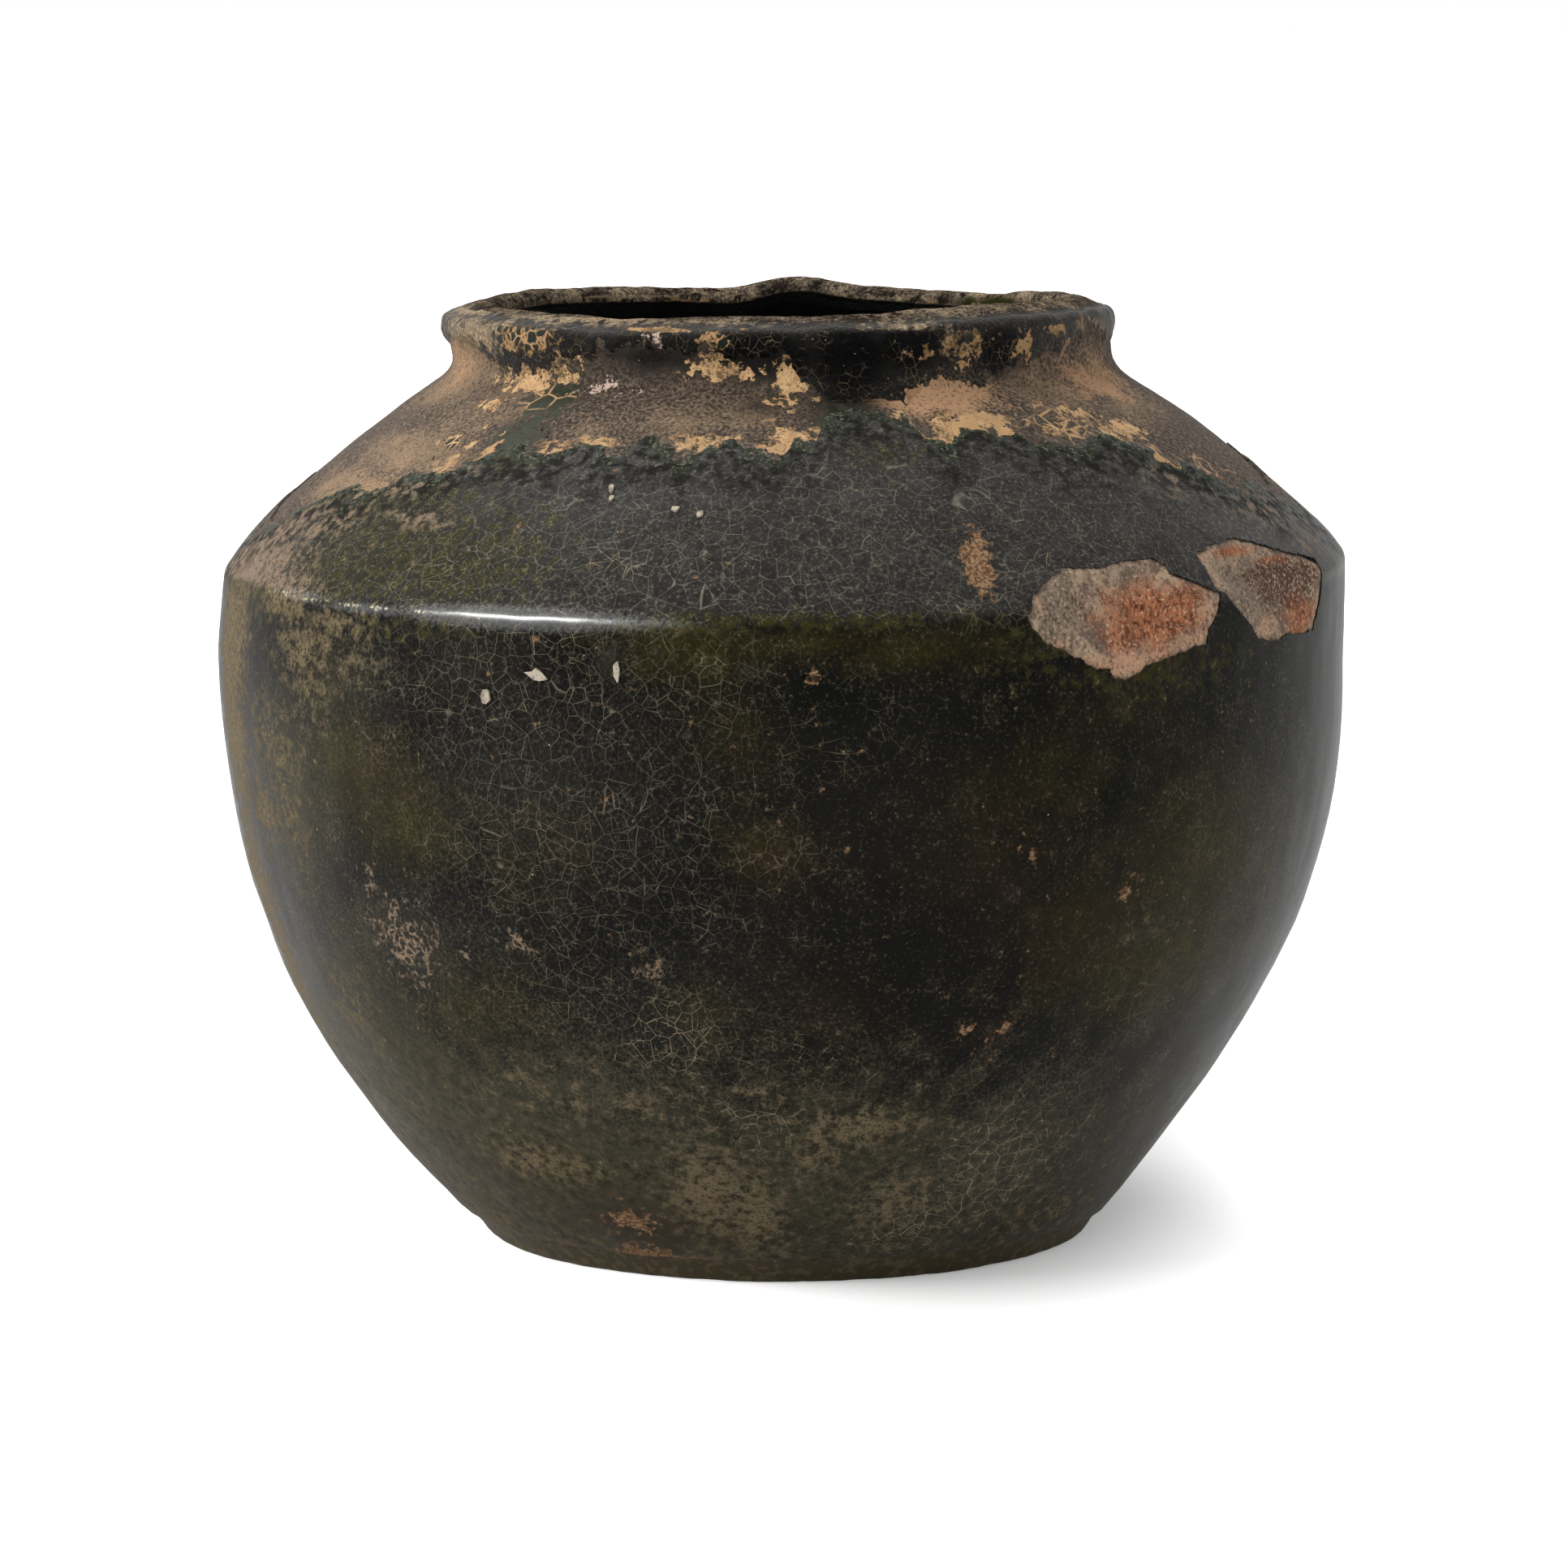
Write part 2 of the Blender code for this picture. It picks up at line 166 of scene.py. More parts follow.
world = bpy.data.worlds.new("studio_white")
bpy.context.scene.world = world
world.use_nodes = True
tree = world.node_tree
tree.nodes.clear()
level = add(tree, "MapRange", {0: seen_directly(tree), 3: ROOM_LIGHT, 4: 1.0})
add(tree, "OutputWorld", {"Surface": add(tree, "Background", {"Color": (1, 1, 1, 1), "Strength": level})})


def softbox(name, place, width, height):
    """A rectangular lamp that faces the middle of the jar."""
    lamp = new(name, bpy.ops.object.light_add, type="AREA", location=place)
    lamp.data.shape = "RECTANGLE"
    lamp.data.size, lamp.data.size_y = width, height
    lamp.data.energy = LAMP_WATTS
    lamp.rotation_euler = (LAMP_TARGET - Vector(place)).to_track_quat("-Z", "Y").to_euler()
    print(name, "of", width, "by", height, "m at", place)


softbox("key_softbox", (-1.35, -0.85, 1.15), 1.2, 0.25)
softbox("top_softbox", (-0.25, 0.8, 1.8), 1.5, 1.2)

bpy.context.scene.view_settings.view_transform = "Standard"

# %% [markdown]
# ## The outline of the pot
#
# A thrown pot is known by its outline: turned once round the axis, the outline is the pot. This one is kept
# in a few named sizes, in metres, and in curves between them. A curve is drawn by its handles, as a pen tool
# draws it, and points are read off it as closely as the surface there needs them.

# %% Sizes of the clay
FOOT_RADIUS = 0.0885
BELLY_RADIUS = 0.1644
EDGE_RADIUS = 0.1636
ROOT_RADIUS = 0.1062
COLLAR_RADIUS = 0.0970
LIP_RADIUS = 0.0980
NECK_RADIUS = 0.0817

FLOOR_HEIGHT = 0.0123
BELLY_HEIGHT = 0.1700
EDGE_HEIGHT = 0.1965
ROOT_HEIGHT = 0.2486
COLLAR_HEIGHT = 0.2578
LIP_HEIGHT = 0.2723  # its crest, before the waves

WALL = 0.0090
FOOT_TURN = 0.0030
RING_WIDTH = 0.0180
HOLLOW_DEPTH = 0.0030
HOLLOW_SLOPE = 0.0050
FLOOR_CORNER = 0.0160
NECK_CORNER = 0.0060

FOOT_LEAN = math.radians(40.5)
SHOULDER_START = math.radians(-27)
SHOULDER_END = math.radians(-57)

STRAIGHT_RUN = 0.0083  # of the wall over the foot's turn
EDGE_ROUND = 0.0016

# How far the handles of a curve reach from its two ends, as shares of its rise, length or width
BOWL_REACH = (0.40, 0.44)
SHOULDER_REACH = (0.13, 0.46)
FLARE_REACH = (0.50, 0.45)
CORNER_REACH = (0.45, 0.40)

COAT = 0.0011  # the glaze's outer face over the clay
TUCK = 0.0001  # how far its inner face is sunk into the clay


# %% Curves
def leaning(angle, length=1):
    """A step in the outline at an angle from the upright, outwards if positive."""
    return Vector((math.sin(angle), math.cos(angle))) * length


def bend(handles, steps):
    """The points of a curve after its first one, by lerps between its handles."""
    points = []
    for step in range(1, steps + 1):
        left = list(handles)
        while len(left) > 1:
            left = [a.lerp(b, step / steps) for a, b in zip(left, left[1:])]
        points.append(left[0])
    return points


def sweep(start, start_lean, end, end_lean, span, reach, steps):
    """A curve that leaves its start and comes to its end at given leans."""
    ahead, back = leaning(start_lean, span * reach[0]), leaning(end_lean, span * reach[1])
    return bend([start, start + ahead, end - back, end], steps)


def flowing(points, steps):
    """A line that flows through all the points."""
    ends = [points[0]] + points + [points[-1]]
    line = [points[0]]
    for before, start, end, after in zip(ends, ends[1:], ends[2:], ends[3:]):
        line += bend([start, start + (end - before) / 6, end - (after - start) / 6, end], steps)
    return line


def offset(outline, distance):
    """The outline moved to its left-hand side."""
    runs = [(b - a).normalized() for a, b in zip(outline, outline[1:])]
    moved = []
    for point, before, after in zip(outline, runs[:1] + runs, runs + runs[-1:]):
        along = (before + after).normalized()
        moved.append(point + Vector((-along.y, along.x)) * distance / along.dot(before))
    return moved


# %% The outline, from the middle of the underside over the lip to the middle of the floor
foot = Vector((FOOT_RADIUS, 0))
turned = foot + Vector((FOOT_TURN, FOOT_TURN))
bowl_start = turned + leaning(FOOT_LEAN, STRAIGHT_RUN)
belly = Vector((BELLY_RADIUS, BELLY_HEIGHT))
edge = Vector((EDGE_RADIUS, EDGE_HEIGHT))
root = Vector((ROOT_RADIUS, ROOT_HEIGHT))
collar_foot = Vector((COLLAR_RADIUS, COLLAR_HEIGHT))

hollow_edge = foot - Vector((RING_WIDTH + HOLLOW_SLOPE, -HOLLOW_DEPTH))
ring_edge = foot - Vector((RING_WIDTH, 0))
across = Vector((HOLLOW_SLOPE / 2, 0))
underside = [Vector((0, HOLLOW_DEPTH))]
underside += bend([underside[0], hollow_edge], 6)
underside += bend([hollow_edge, hollow_edge + across, ring_edge - across, ring_edge], 5)
underside += bend([ring_edge, foot], 5)
underside += bend([foot, Vector((turned.x - FOOT_TURN / 2, 0)), turned], 4)

bowl = [turned] + bend([turned, bowl_start], 3)
bowl += sweep(bowl_start, FOOT_LEAN, belly, 0, BELLY_HEIGHT - bowl_start.y, BOWL_REACH, 26)
brow = bend([belly, belly + leaning(0, (EDGE_HEIGHT - BELLY_HEIGHT) / 2), edge], 6)
under_edge = edge - leaning(0, EDGE_ROUND)
over_edge = edge + leaning(SHOULDER_START, EDGE_ROUND)
brow = brow[:-1] + [under_edge] + bend([under_edge, edge, over_edge], 5)
shoulder = sweep(edge, SHOULDER_START, root, SHOULDER_END, (root - edge).length, SHOULDER_REACH, 42)
shoulder = [point for point in shoulder if (point - edge).length > EDGE_ROUND * 1.3]
fillet = sweep(root, SHOULDER_END, collar_foot, 0, ROOT_RADIUS - COLLAR_RADIUS, FLARE_REACH, 8)

LIP_PLACES = (
    (0.9, 11.5), (0.1, 8.6), (-0.1, 6.2), (0.3, 4.1), (1.7, 2.9), (2.9, 2.9), (6.2, 1.4), (11.1, 0.0),
    (14.0, 0.4), (15.8, 2.2), (16.3, 4.8),
)  # millimetres in from the lip's radius and down from its crest
LIP_CORNER = 3  # the place in this list where its outside turns into its top
LIP_STEPS = 3

lip = flowing([
    Vector((LIP_RADIUS - in_mm * 0.001, LIP_HEIGHT - down_mm * 0.001)) for in_mm, down_mm in LIP_PLACES
], LIP_STEPS)

outside = bowl + brow + shoulder
inside = offset(outside, WALL)
print("outline points:", len(underside), len(outside), len(fillet), len(lip))

# %% The whole outline
edge_place = len(bowl) + len(brow) - 1
inner_shoulder = inside[:edge_place + 5:-5]  # out of sight, so it needs fewer points
inner_bowl = inside[edge_place - 2:3:-2]
floor_end = Vector((0, FLOOR_HEIGHT))
corner_top = inner_bowl[-1]
corner_foot = Vector((corner_top.x - FLOOR_CORNER, FLOOR_HEIGHT))
corner = bend([
    corner_top, corner_top - leaning(FOOT_LEAN, FLOOR_CORNER * CORNER_REACH[0]),
    corner_foot + Vector((FLOOR_CORNER * CORNER_REACH[1], 0)), corner_foot,
], 5)
inner_floor = bend([corner_foot, floor_end], 8)

inner_root = inside[-1]
neck = Vector((NECK_RADIUS, inner_root.y + (inner_root.x - NECK_RADIUS) / math.tan(-SHOULDER_END)))
inner_neck = bend([neck + leaning(0, NECK_CORNER), neck, neck - leaning(SHOULDER_END, NECK_CORNER)], 5)

outline = underside + outside[1:] + fillet + lip + inner_neck + inner_shoulder + inner_bowl
outline += corner + inner_floor
print("points in the outline:", len(outline))

# %% [markdown]
# ## Throwing by hand
#
# A hand-thrown pot is never quite true. Its centre line wanders a little, its shoulder edge dips and rises,
# and the lip runs in waves. All of that is one smooth movement of space, the same for every coat, so a coat
# still lies on its clay when both have been moved. Each value below is a share of the named stray, at equal
# steps up or round the pot, and it is eased from one step to the next.

# %% How the form strays from true
LEAN = 0.0020
OVAL = 0.0006
OVAL_TURN = math.radians(-29)
EDGE_WAVE = 0.0030
EDGE_REACH = 0.0280
LIP_WAVE = 0.0042
LIP_TURN = 0.068  # how far round, in radians, its wave is drawn at the back

LEAN_SHARES = (0.8, -0.4, -0.4, 0.25, 0.35, 0.0, 0.65, 1.15, -0.5)
EDGE_WAVE_SHARES = (-0.6, 0.4, 1.1, 0.6, 0.0, -0.3, -0.4, -0.75)
LIP_WAVE_SHARES = (
    0.14, 0.20, 0.50, 0.70, 0.65, 0.70, 0.60, 0.57, 0.50, 0.05, 0.20, 0.40,
    1.00, 0.15, 0.33, 0.40, 0.48, 0.30, 0.20, 0.12, 0.07, 0.00, -0.19, 0.00,
)


def eased(share):
    share = np.clip(share, 0, 1)
    return share * share * (3 - 2 * share)


def between(shares, place):
    """Values that go smoothly from share to share. A place is counted in shares from the first."""
    shares = np.array(shares)
    step = np.minimum(place.astype(int), len(shares) - 2)
    return shares[step] + (shares[step + 1] - shares[step]) * eased(place - step)


def around(shares, azimuth):
    """Values that change smoothly round the jar through equally spaced shares."""
    return between([*shares, shares[0]], azimuth / math.tau % 1 * len(shares))


def upward(shares, height):
    """Values that change smoothly up the jar through equally spaced shares."""
    return between(shares, np.clip(height / LIP_HEIGHT, 0, 1) * (len(shares) - 1))


def lip_wave(azimuth):
    return LIP_WAVE * around(LIP_WAVE_SHARES, azimuth + LIP_TURN * (1 - np.cos(azimuth)) / 2)


def crest_height(azimuth):
    """The height of the wavy lip's crest."""
    return LIP_HEIGHT + lip_wave(azimuth)


def thrown(azimuth, radius, height):
    """Where points of the true turned form lie on the hand-thrown pot."""
    lean = LEAN * upward(LEAN_SHARES, height)
    radius = radius * (1 + OVAL / BELLY_RADIUS * np.cos(2 * (azimuth - OVAL_TURN)))
    near_edge = eased(1 - abs(height - EDGE_HEIGHT) / EDGE_REACH)
    near_crest = eased((height - ROOT_HEIGHT) / (LIP_HEIGHT - ROOT_HEIGHT))
    height = height + EDGE_WAVE * around(EDGE_WAVE_SHARES, azimuth) * near_edge
    height = height + lip_wave(azimuth) * near_crest
    return np.stack([radius * np.sin(azimuth) + lean, -radius * np.cos(azimuth), height], axis=1)


# %% [markdown]
# ## The wheel
#
# The wheel is Blender's Screw modifier. An outline is traced by extruding one point again and again, and a
# full turn of it gives the surface. `spin` returns it as true as a machine would make it. `settle` then
# moves its points onto the hand-thrown pot. It can also slide them along the outline, which gives a coat of
# glaze a ragged edge, and lift them off it, which lets the coat thin out towards that edge.

# %% Working on one piece
def select_only(piece):
    select_nothing()
    piece.select_set(True)
    bpy.context.view_layer.objects.active = piece


def edit_all():
    """Opens the new piece in edit mode, with all of it selected."""
    bpy.ops.object.mode_set(mode="EDIT")
    bpy.ops.mesh.select_all(action="SELECT")


def close_edit():
    """Turns all faces outwards and leaves edit mode."""
    bpy.ops.mesh.select_all(action="SELECT")
    bpy.ops.mesh.normals_make_consistent(inside=False)
    bpy.ops.object.mode_set(mode="OBJECT")


def apply(piece, kind, **settings):
    """Adds a modifier, sets it up and applies it."""
    select_only(piece)
    modifier = piece.modifiers.new(kind.lower(), kind)
    for name, value in settings.items():
        setattr(modifier, name, value)
    bpy.ops.object.modifier_apply(modifier=modifier.name)


# %% Spin
WELD = 1e-6


def spin(name, points, columns):
    """Traces an outline and turns it round the axis into an open or closed sheet."""
    start = (points[0].x, 0, points[0].y)
    piece = new(name, bpy.ops.mesh.primitive_plane_add, size=WALL, location=start)
    edit_all()
    bpy.ops.mesh.merge(type="CENTER")
    for here, there in zip(points, points[1:]):
        step = there - here
        bpy.ops.mesh.extrude_vertices_move(TRANSFORM_OT_translate={"value": (step.x, 0, step.y)})
    bpy.ops.object.mode_set(mode="OBJECT")
    bpy.ops.object.transform_apply()
    apply(
        piece, "SCREW", angle=math.tau, steps=columns, render_steps=columns, use_merge_vertices=True,
        merge_threshold=WELD,
    )
    edit_all()
    bpy.ops.mesh.remove_doubles(threshold=WELD)
    close_edit()
    return piece


def places_of(piece):
    """The points of a piece, as rows of x, y and z."""
    places = np.empty(len(piece.data.vertices) * 3, np.float32)
    piece.data.vertices.foreach_get("co", places)
    return places.reshape(-1, 3).astype(float)


def turned_places(piece):
    """The points of a piece as azimuth, radius and height."""
    places = places_of(piece)
    return np.arctan2(places[:, 0], -places[:, 1]), np.hypot(places[:, 0], places[:, 1]), places[:, 2]


def put(piece, places):
    piece.data.vertices.foreach_set("co", places.astype(np.float32).ravel())
    piece.data.update()


# %% Settle
AT_ONCE = 20000  # points that are compared with the outline in one go, to save memory


def measured(points):
    """A line as an array of its points, and how long it is up to each of them."""
    line = np.array([tuple(point) for point in points])
    return line, np.concatenate([[0], np.cumsum(np.hypot(*np.diff(line, axis=0).T))])


def settle(piece, points, slide=None, lift=None):
    """Moves a spun piece onto the hand-thrown pot. slide and lift take azimuths and lengths along."""
    azimuth, radius, height = turned_places(piece)
    line, gone = measured(points)
    row = np.concatenate([
        np.argmin((radius[part, None] - line[:, 0]) ** 2 + (height[part, None] - line[:, 1]) ** 2, axis=1)
        for part in np.array_split(np.arange(len(radius)), len(radius) // AT_ONCE + 1)
    ])
    along = gone[row]
    if slide:
        along = slide(azimuth, along)
        radius, height = np.interp(along, gone, line[:, 0]), np.interp(along, gone, line[:, 1])
    if lift:
        slope = np.gradient(line, gone, axis=0)
        slope /= np.hypot(*slope.T)[:, None]
        off = lift(azimuth, along)
        radius = radius + np.interp(along, gone, slope[:, 1]) * off
        height = height - np.interp(along, gone, slope[:, 0]) * off
    put(piece, thrown(azimuth, radius, height))


# %% Roughen and finish the mesh
SHARP = math.radians(40)  # a fold sharper than this stays an edge


def finish_mesh(piece):
    """Shades a piece smooth, but for its sharp folds, and counts it."""
    select_only(piece)
    bpy.ops.object.shade_smooth_by_angle(angle=SHARP)
    triangles = sum(len(face.vertices) - 2 for face in piece.data.polygons)
    print(piece.name, len(piece.data.vertices), "points,", triangles, "triangles")


UNEVEN = ("uneven_clay", 0.018, 0.0007)  # the clay's own unevenness, which every coat on it follows


def roughen(piece, name, grain, depth):
    """Sinks the surface unevenly, by up to depth, in dents about as wide as the grain."""
    clouds = bpy.data.textures.new(name, "CLOUDS")
    clouds.noise_scale = grain
    clouds.noise_depth = 3
    apply(piece, "DISPLACE", texture=clouds, texture_coords="LOCAL", strength=depth, mid_level=1)


# %% [markdown]
# ## The fired clay
#
# On the fired pot the thrown sections are one body, so one mesh stands for the floor, the wall, the shoulder
# and the collar. Most of it is hidden under glaze. It shows at the foot, on the bare band below the lip and
# in the two spalls. Its points lie closest together where it shows.

# %% Throw the clay
BODY_COLUMNS = 480

clay = spin("thrown_clay_body", outline, BODY_COLUMNS)
settle(clay, outline)
roughen(clay, *UNEVEN)
roughen(clay, "pitted_clay", 0.003, 0.00025)

# %% [markdown]
# ## The outer coat of glaze
#
# Lead glaze melts to a glassy skin, about a millimetre thick, that grips the clay. The jar was dipped foot
# up, so the coat covers it from just over the ground to the shoulder and stops there in scallops, where old
# wear has eaten into it. The coat is turned from a part of the same outline. Its upper rows are then slid
# along the outline to the ragged edge, and lifted less and less, so that the skin thins to a feather there.

# %% Where the glaze ends
GLAZE_LOW = 0.0045  # the coat's lower edge, along the outline from the foot's turn
GLAZE_COLUMNS = 600
SCALLOPS = ((0.0030, 3, 84), (0.0014, 4, 210))  # height of the small scallops, seed and number round the jar
SCALLOPS_RISE = 0.0020  # of all of them over the measured places

# Places on the ragged edge: degrees from the front to the right, and millimetres above the ground
GLAZE_END = (
    (-180, 226), (-172, 231), (-165, 225), (-156, 229), (-149, 222), (-140, 230), (-133, 224), (-125, 229),
    (-118, 219), (-110, 222), (-102, 215), (-95, 217), (-88, 209), (-80, 208), (-74, 212), (-69, 218.5),
    (-62, 224), (-56, 224), (-52, 229), (-45, 231), (-41, 236), (-37, 239), (-33, 236), (-30, 237.5),
    (-26, 241), (-22, 237), (-18, 241.5), (-15, 240), (-12, 237.4), (-9, 241), (-7, 242.5), (-4, 238.5),
    (-1, 236.5), (1.5, 242.6), (3.5, 241), (6, 247.5), (12, 248.2), (18, 247.5), (20, 242), (22, 240),
    (24, 244), (27, 246.5), (30, 243), (33, 243.4), (35, 237), (38, 240), (42, 238), (47, 241), (53, 237),
    (58, 231), (61, 230), (66, 222), (72, 224), (80, 217), (88, 221), (95, 227), (103, 222), (110, 231),
    (118, 225), (126, 232), (134, 225), (143, 230), (151, 221), (158, 227), (166, 220), (173, 229),
    (180, 226),
)

glaze_line = [point for point in outside if point.y >= turned.y + GLAZE_LOW * 0.7] + fillet[:2]
line, lengths = measured(glaze_line)
heights = line[:, 1]


def scatter(azimuth, seed, steps):
    """Rough values from -1 to 1 that change over so many even steps round the jar."""
    values = np.random.default_rng(seed).uniform(-1, 1, steps)
    return around(values, azimuth)


def lobes(azimuth, seed, count):
    """Rounded scallops of uneven width and height round the jar, from 0 to 1."""
    place = (azimuth / math.tau % 1 * count + 0.45 * scatter(azimuth, seed + 20, count // 2)) % count
    sizes = np.random.default_rng(seed).uniform(0.15, 1, count)
    return sizes[place.astype(int) % count] * (1 - (2 * (place % 1) - 1) ** 2)


def scallops(azimuth, kinds):
    return sum(height * lobes(azimuth, seed, count) for height, seed, count in kinds)


def swinging(azimuth, places):
    """Metres that swing smoothly between places round the jar, which are kept in degrees and millimetres."""
    degrees = np.degrees((azimuth + math.pi) % math.tau - math.pi)
    turns, values = np.array(places).T
    place = np.clip(np.searchsorted(turns, degrees, side="right") - 1, 0, len(turns) - 2)
    share = (degrees - turns[place]) / (turns[place + 1] - turns[place])
    return (values[place] + (values[place + 1] - values[place]) * eased(share)) / 1000


def glaze_end(azimuth):
    """How far along its outline the coat reaches, with the small scallops between the measured places."""
    end = np.interp(swinging(azimuth, GLAZE_END), heights, lengths)
    return end + (scallops(azimuth, SCALLOPS) + SCALLOPS_RISE)


# %% Throw the coat
RAGGED_START = np.interp(0.2045, heights, lengths)  # the rows above this height are slid
THIN_EDGE = -0.0006  # the coat dives just under the pitted clay at its ends, so that no gap shows
FEATHER = 0.006  # how far from its ends it thins
LOW_WAVE = 0.0015  # how far its lower edge strays
LOW_REACH = 0.02  # and how far up its rows follow


def to_ragged_edge(azimuth, along):
    stretch = (glaze_end(azimuth) - RAGGED_START) / (lengths[-1] - RAGGED_START)
    low = LOW_WAVE * scatter(azimuth, 5, 90) * eased(1 - along / LOW_REACH)
    return np.where(along > RAGGED_START, RAGGED_START + (along - RAGGED_START) * stretch, along + low)


def thinned(left):
    """The height of a coat over the clay, by how much of it is left up to its nearer end."""
    return THIN_EDGE + (COAT - THIN_EDGE) * eased(left / FEATHER) ** 0.5


def feathered(azimuth, along):
    return thinned(np.minimum(glaze_end(azimuth) - along, along + LOW_WAVE))


def throw_coat(name, points, columns, lift, slide=None, thickness=COAT, lumps=None):
    """Spins a coat, settles it on the uneven clay and gives it its thickness."""
    piece = spin(name, points, columns)
    settle(piece, points, slide, lift)
    roughen(piece, *UNEVEN)
    if lumps:
        roughen(piece, *lumps)
    apply(piece, "SOLIDIFY", thickness=thickness + TUCK, offset=-1)
    print(name, "of", len(points), "rows and", columns, "columns")
    return piece


coat = throw_coat("outer_glaze_coat", glaze_line, GLAZE_COLUMNS, feathered, to_ragged_edge)

# %% [markdown]
# ## The glaze on the lip and inside
#
# The lip was dipped on its own. What is left of that glaze lies over the lip and hangs down the collar in
# tongues, the longest of them at the front right. Inside, the glaze was poured and swilled, so it is whole.

# %% Where the lip's glaze ends
LIP_COLUMNS = 480
LIP_RUN = (
    (-180, 9), (-160, 5), (-140, 8), (-120, 4), (-100, 7), (-80, 4), (-65, 4), (-58, 9), (-52, 12),
    (-44, 11), (-37, 5), (-30, 3.5), (-22, 3), (-14, 4), (-8, 6), (-3, 5), (1, 6), (5, 15), (9, 25.5),
    (13, 25), (18, 20), (23, 14.5), (27, 13.5), (34, 14), (41, 13), (46, 9.5), (52, 8), (58, 4), (66, 4),
    (80, 6), (95, 4), (110, 8), (128, 4), (145, 9), (162, 5), (180, 9),
)  # degrees from the front to the right, and millimetres down from the lip's outer corner
LIP_SCALLOPS = ((0.0026, 6, 90), (0.0012, 7, 200))
LIP_SCALLOPS_DROP = 0.0020
LUMPS = ("lumpy_lip", 0.009, 0.0007)

lip_line = [root, *fillet[:-1], *lip]
lip_lengths = measured(lip_line)[1]
lip_corner = lip_lengths[len(fillet) + LIP_CORNER * LIP_STEPS]


def lip_end(azimuth):
    """How far down its outline, towards the collar's root, the lip's glaze runs."""
    run = swinging(azimuth, LIP_RUN) + LIP_SCALLOPS_DROP + scallops(azimuth, LIP_SCALLOPS)
    return lip_corner - run


# %% Throw the lip's coat
def to_lip_end(azimuth, along):
    end = np.maximum(lip_end(azimuth), 0)
    slid = lip_corner - (lip_corner - along) * (lip_corner - end) / lip_corner
    return np.where(along < lip_corner, slid, along)


def lip_feathered(azimuth, along):
    return thinned(np.minimum(along - np.maximum(lip_end(azimuth), 0), lip_lengths[-1] - along + 0.002))


lip_coat = throw_coat("lip_glaze_coat", lip_line, LIP_COLUMNS, lip_feathered, to_lip_end, lumps=LUMPS)

# %% Throw the inside coat
INSIDE_COLUMNS = 360
OVERLAP = 0.0015  # how far it reaches up under the lip's coat


def evenly_thick(azimuth, along):
    return np.full(len(along), COAT)


inside_line = [lip[-1] - leaning(0, OVERLAP), *inner_neck, *inner_shoulder, *inner_bowl, *corner]
inside_line += inner_floor
inside_coat = throw_coat("inside_glaze_coat", inside_line, INSIDE_COLUMNS, evenly_thick)

# %% [markdown]
# ## The slip border
#
# Under the glaze lies a brushed coat of pale buff slip. Where the glaze has worn back it shows as a bright
# ochre rim, wide in some places and gone in others. It is a narrow strip of the same outline, whose lower
# rows are tucked under the ragged edge of the glaze and whose upper rows wander away from it.

# %% Throw the slip border
SLIP = 0.0005
SLIP_TUCK = 0.0040
SLIP_WIDTH = 0.0058
SLIP_LOW = 0.197  # it starts at the shoulder edge
SLIP_ROWS = 11
SLIP_FEATHER = 0.003

slip_line = [point for point in glaze_line if point.y > SLIP_LOW]
line, slip_lengths = measured(slip_line)
slip_heights = line[:, 1]


def slip_end(azimuth):
    """Where the glaze ends, as a length along the slip's own outline."""
    return np.interp(np.interp(glaze_end(azimuth), lengths, heights), slip_heights, slip_lengths)


def slip_place(azimuth, along):
    """The strip's rows, from under the glaze to the slip's own wandering end."""
    wide = 0.4 + 0.4 * lobes(azimuth, 11, 150) + 0.3 * scatter(azimuth, 12, 44)
    low, high = slip_end(azimuth) - SLIP_TUCK, slip_end(azimuth) + SLIP_WIDTH * wide
    return np.clip(low + (high - low) * (along / slip_lengths[-1]), 0, slip_lengths[-1])


def slip_lift(azimuth, along):
    left = slip_end(azimuth) + SLIP_WIDTH - along
    return (SLIP - THIN_EDGE) * eased(left / SLIP_FEATHER) + THIN_EDGE


def rows_of(points, count):
    """The same line with evenly spaced points."""
    line, gone = measured(points)
    even = np.linspace(0, gone[-1], count)
    return [Vector((np.interp(s, gone, line[:, 0]), np.interp(s, gone, line[:, 1]))) for s in even]


slip_rows = rows_of(slip_line, SLIP_ROWS)
slip_coat = throw_coat("buff_slip_border", slip_rows, GLAZE_COLUMNS, slip_lift, slip_place, SLIP)

# %% [markdown]
# ## The two spalls
#
# Knocks at the shoulder edge split two thin flakes off the pot, glaze and clay together. Each scar is a cut
# with a sharp ragged outline and a rough floor. The cutter is a fine grid laid over the place. It is sunk
# below the surface inside the outline, raised above it outside, and roughened in three sizes of grain. A
# Boolean then takes it from the clay. A second cutter of the same outline goes right through the glaze, so
# that the glaze breaks off where the clay does.

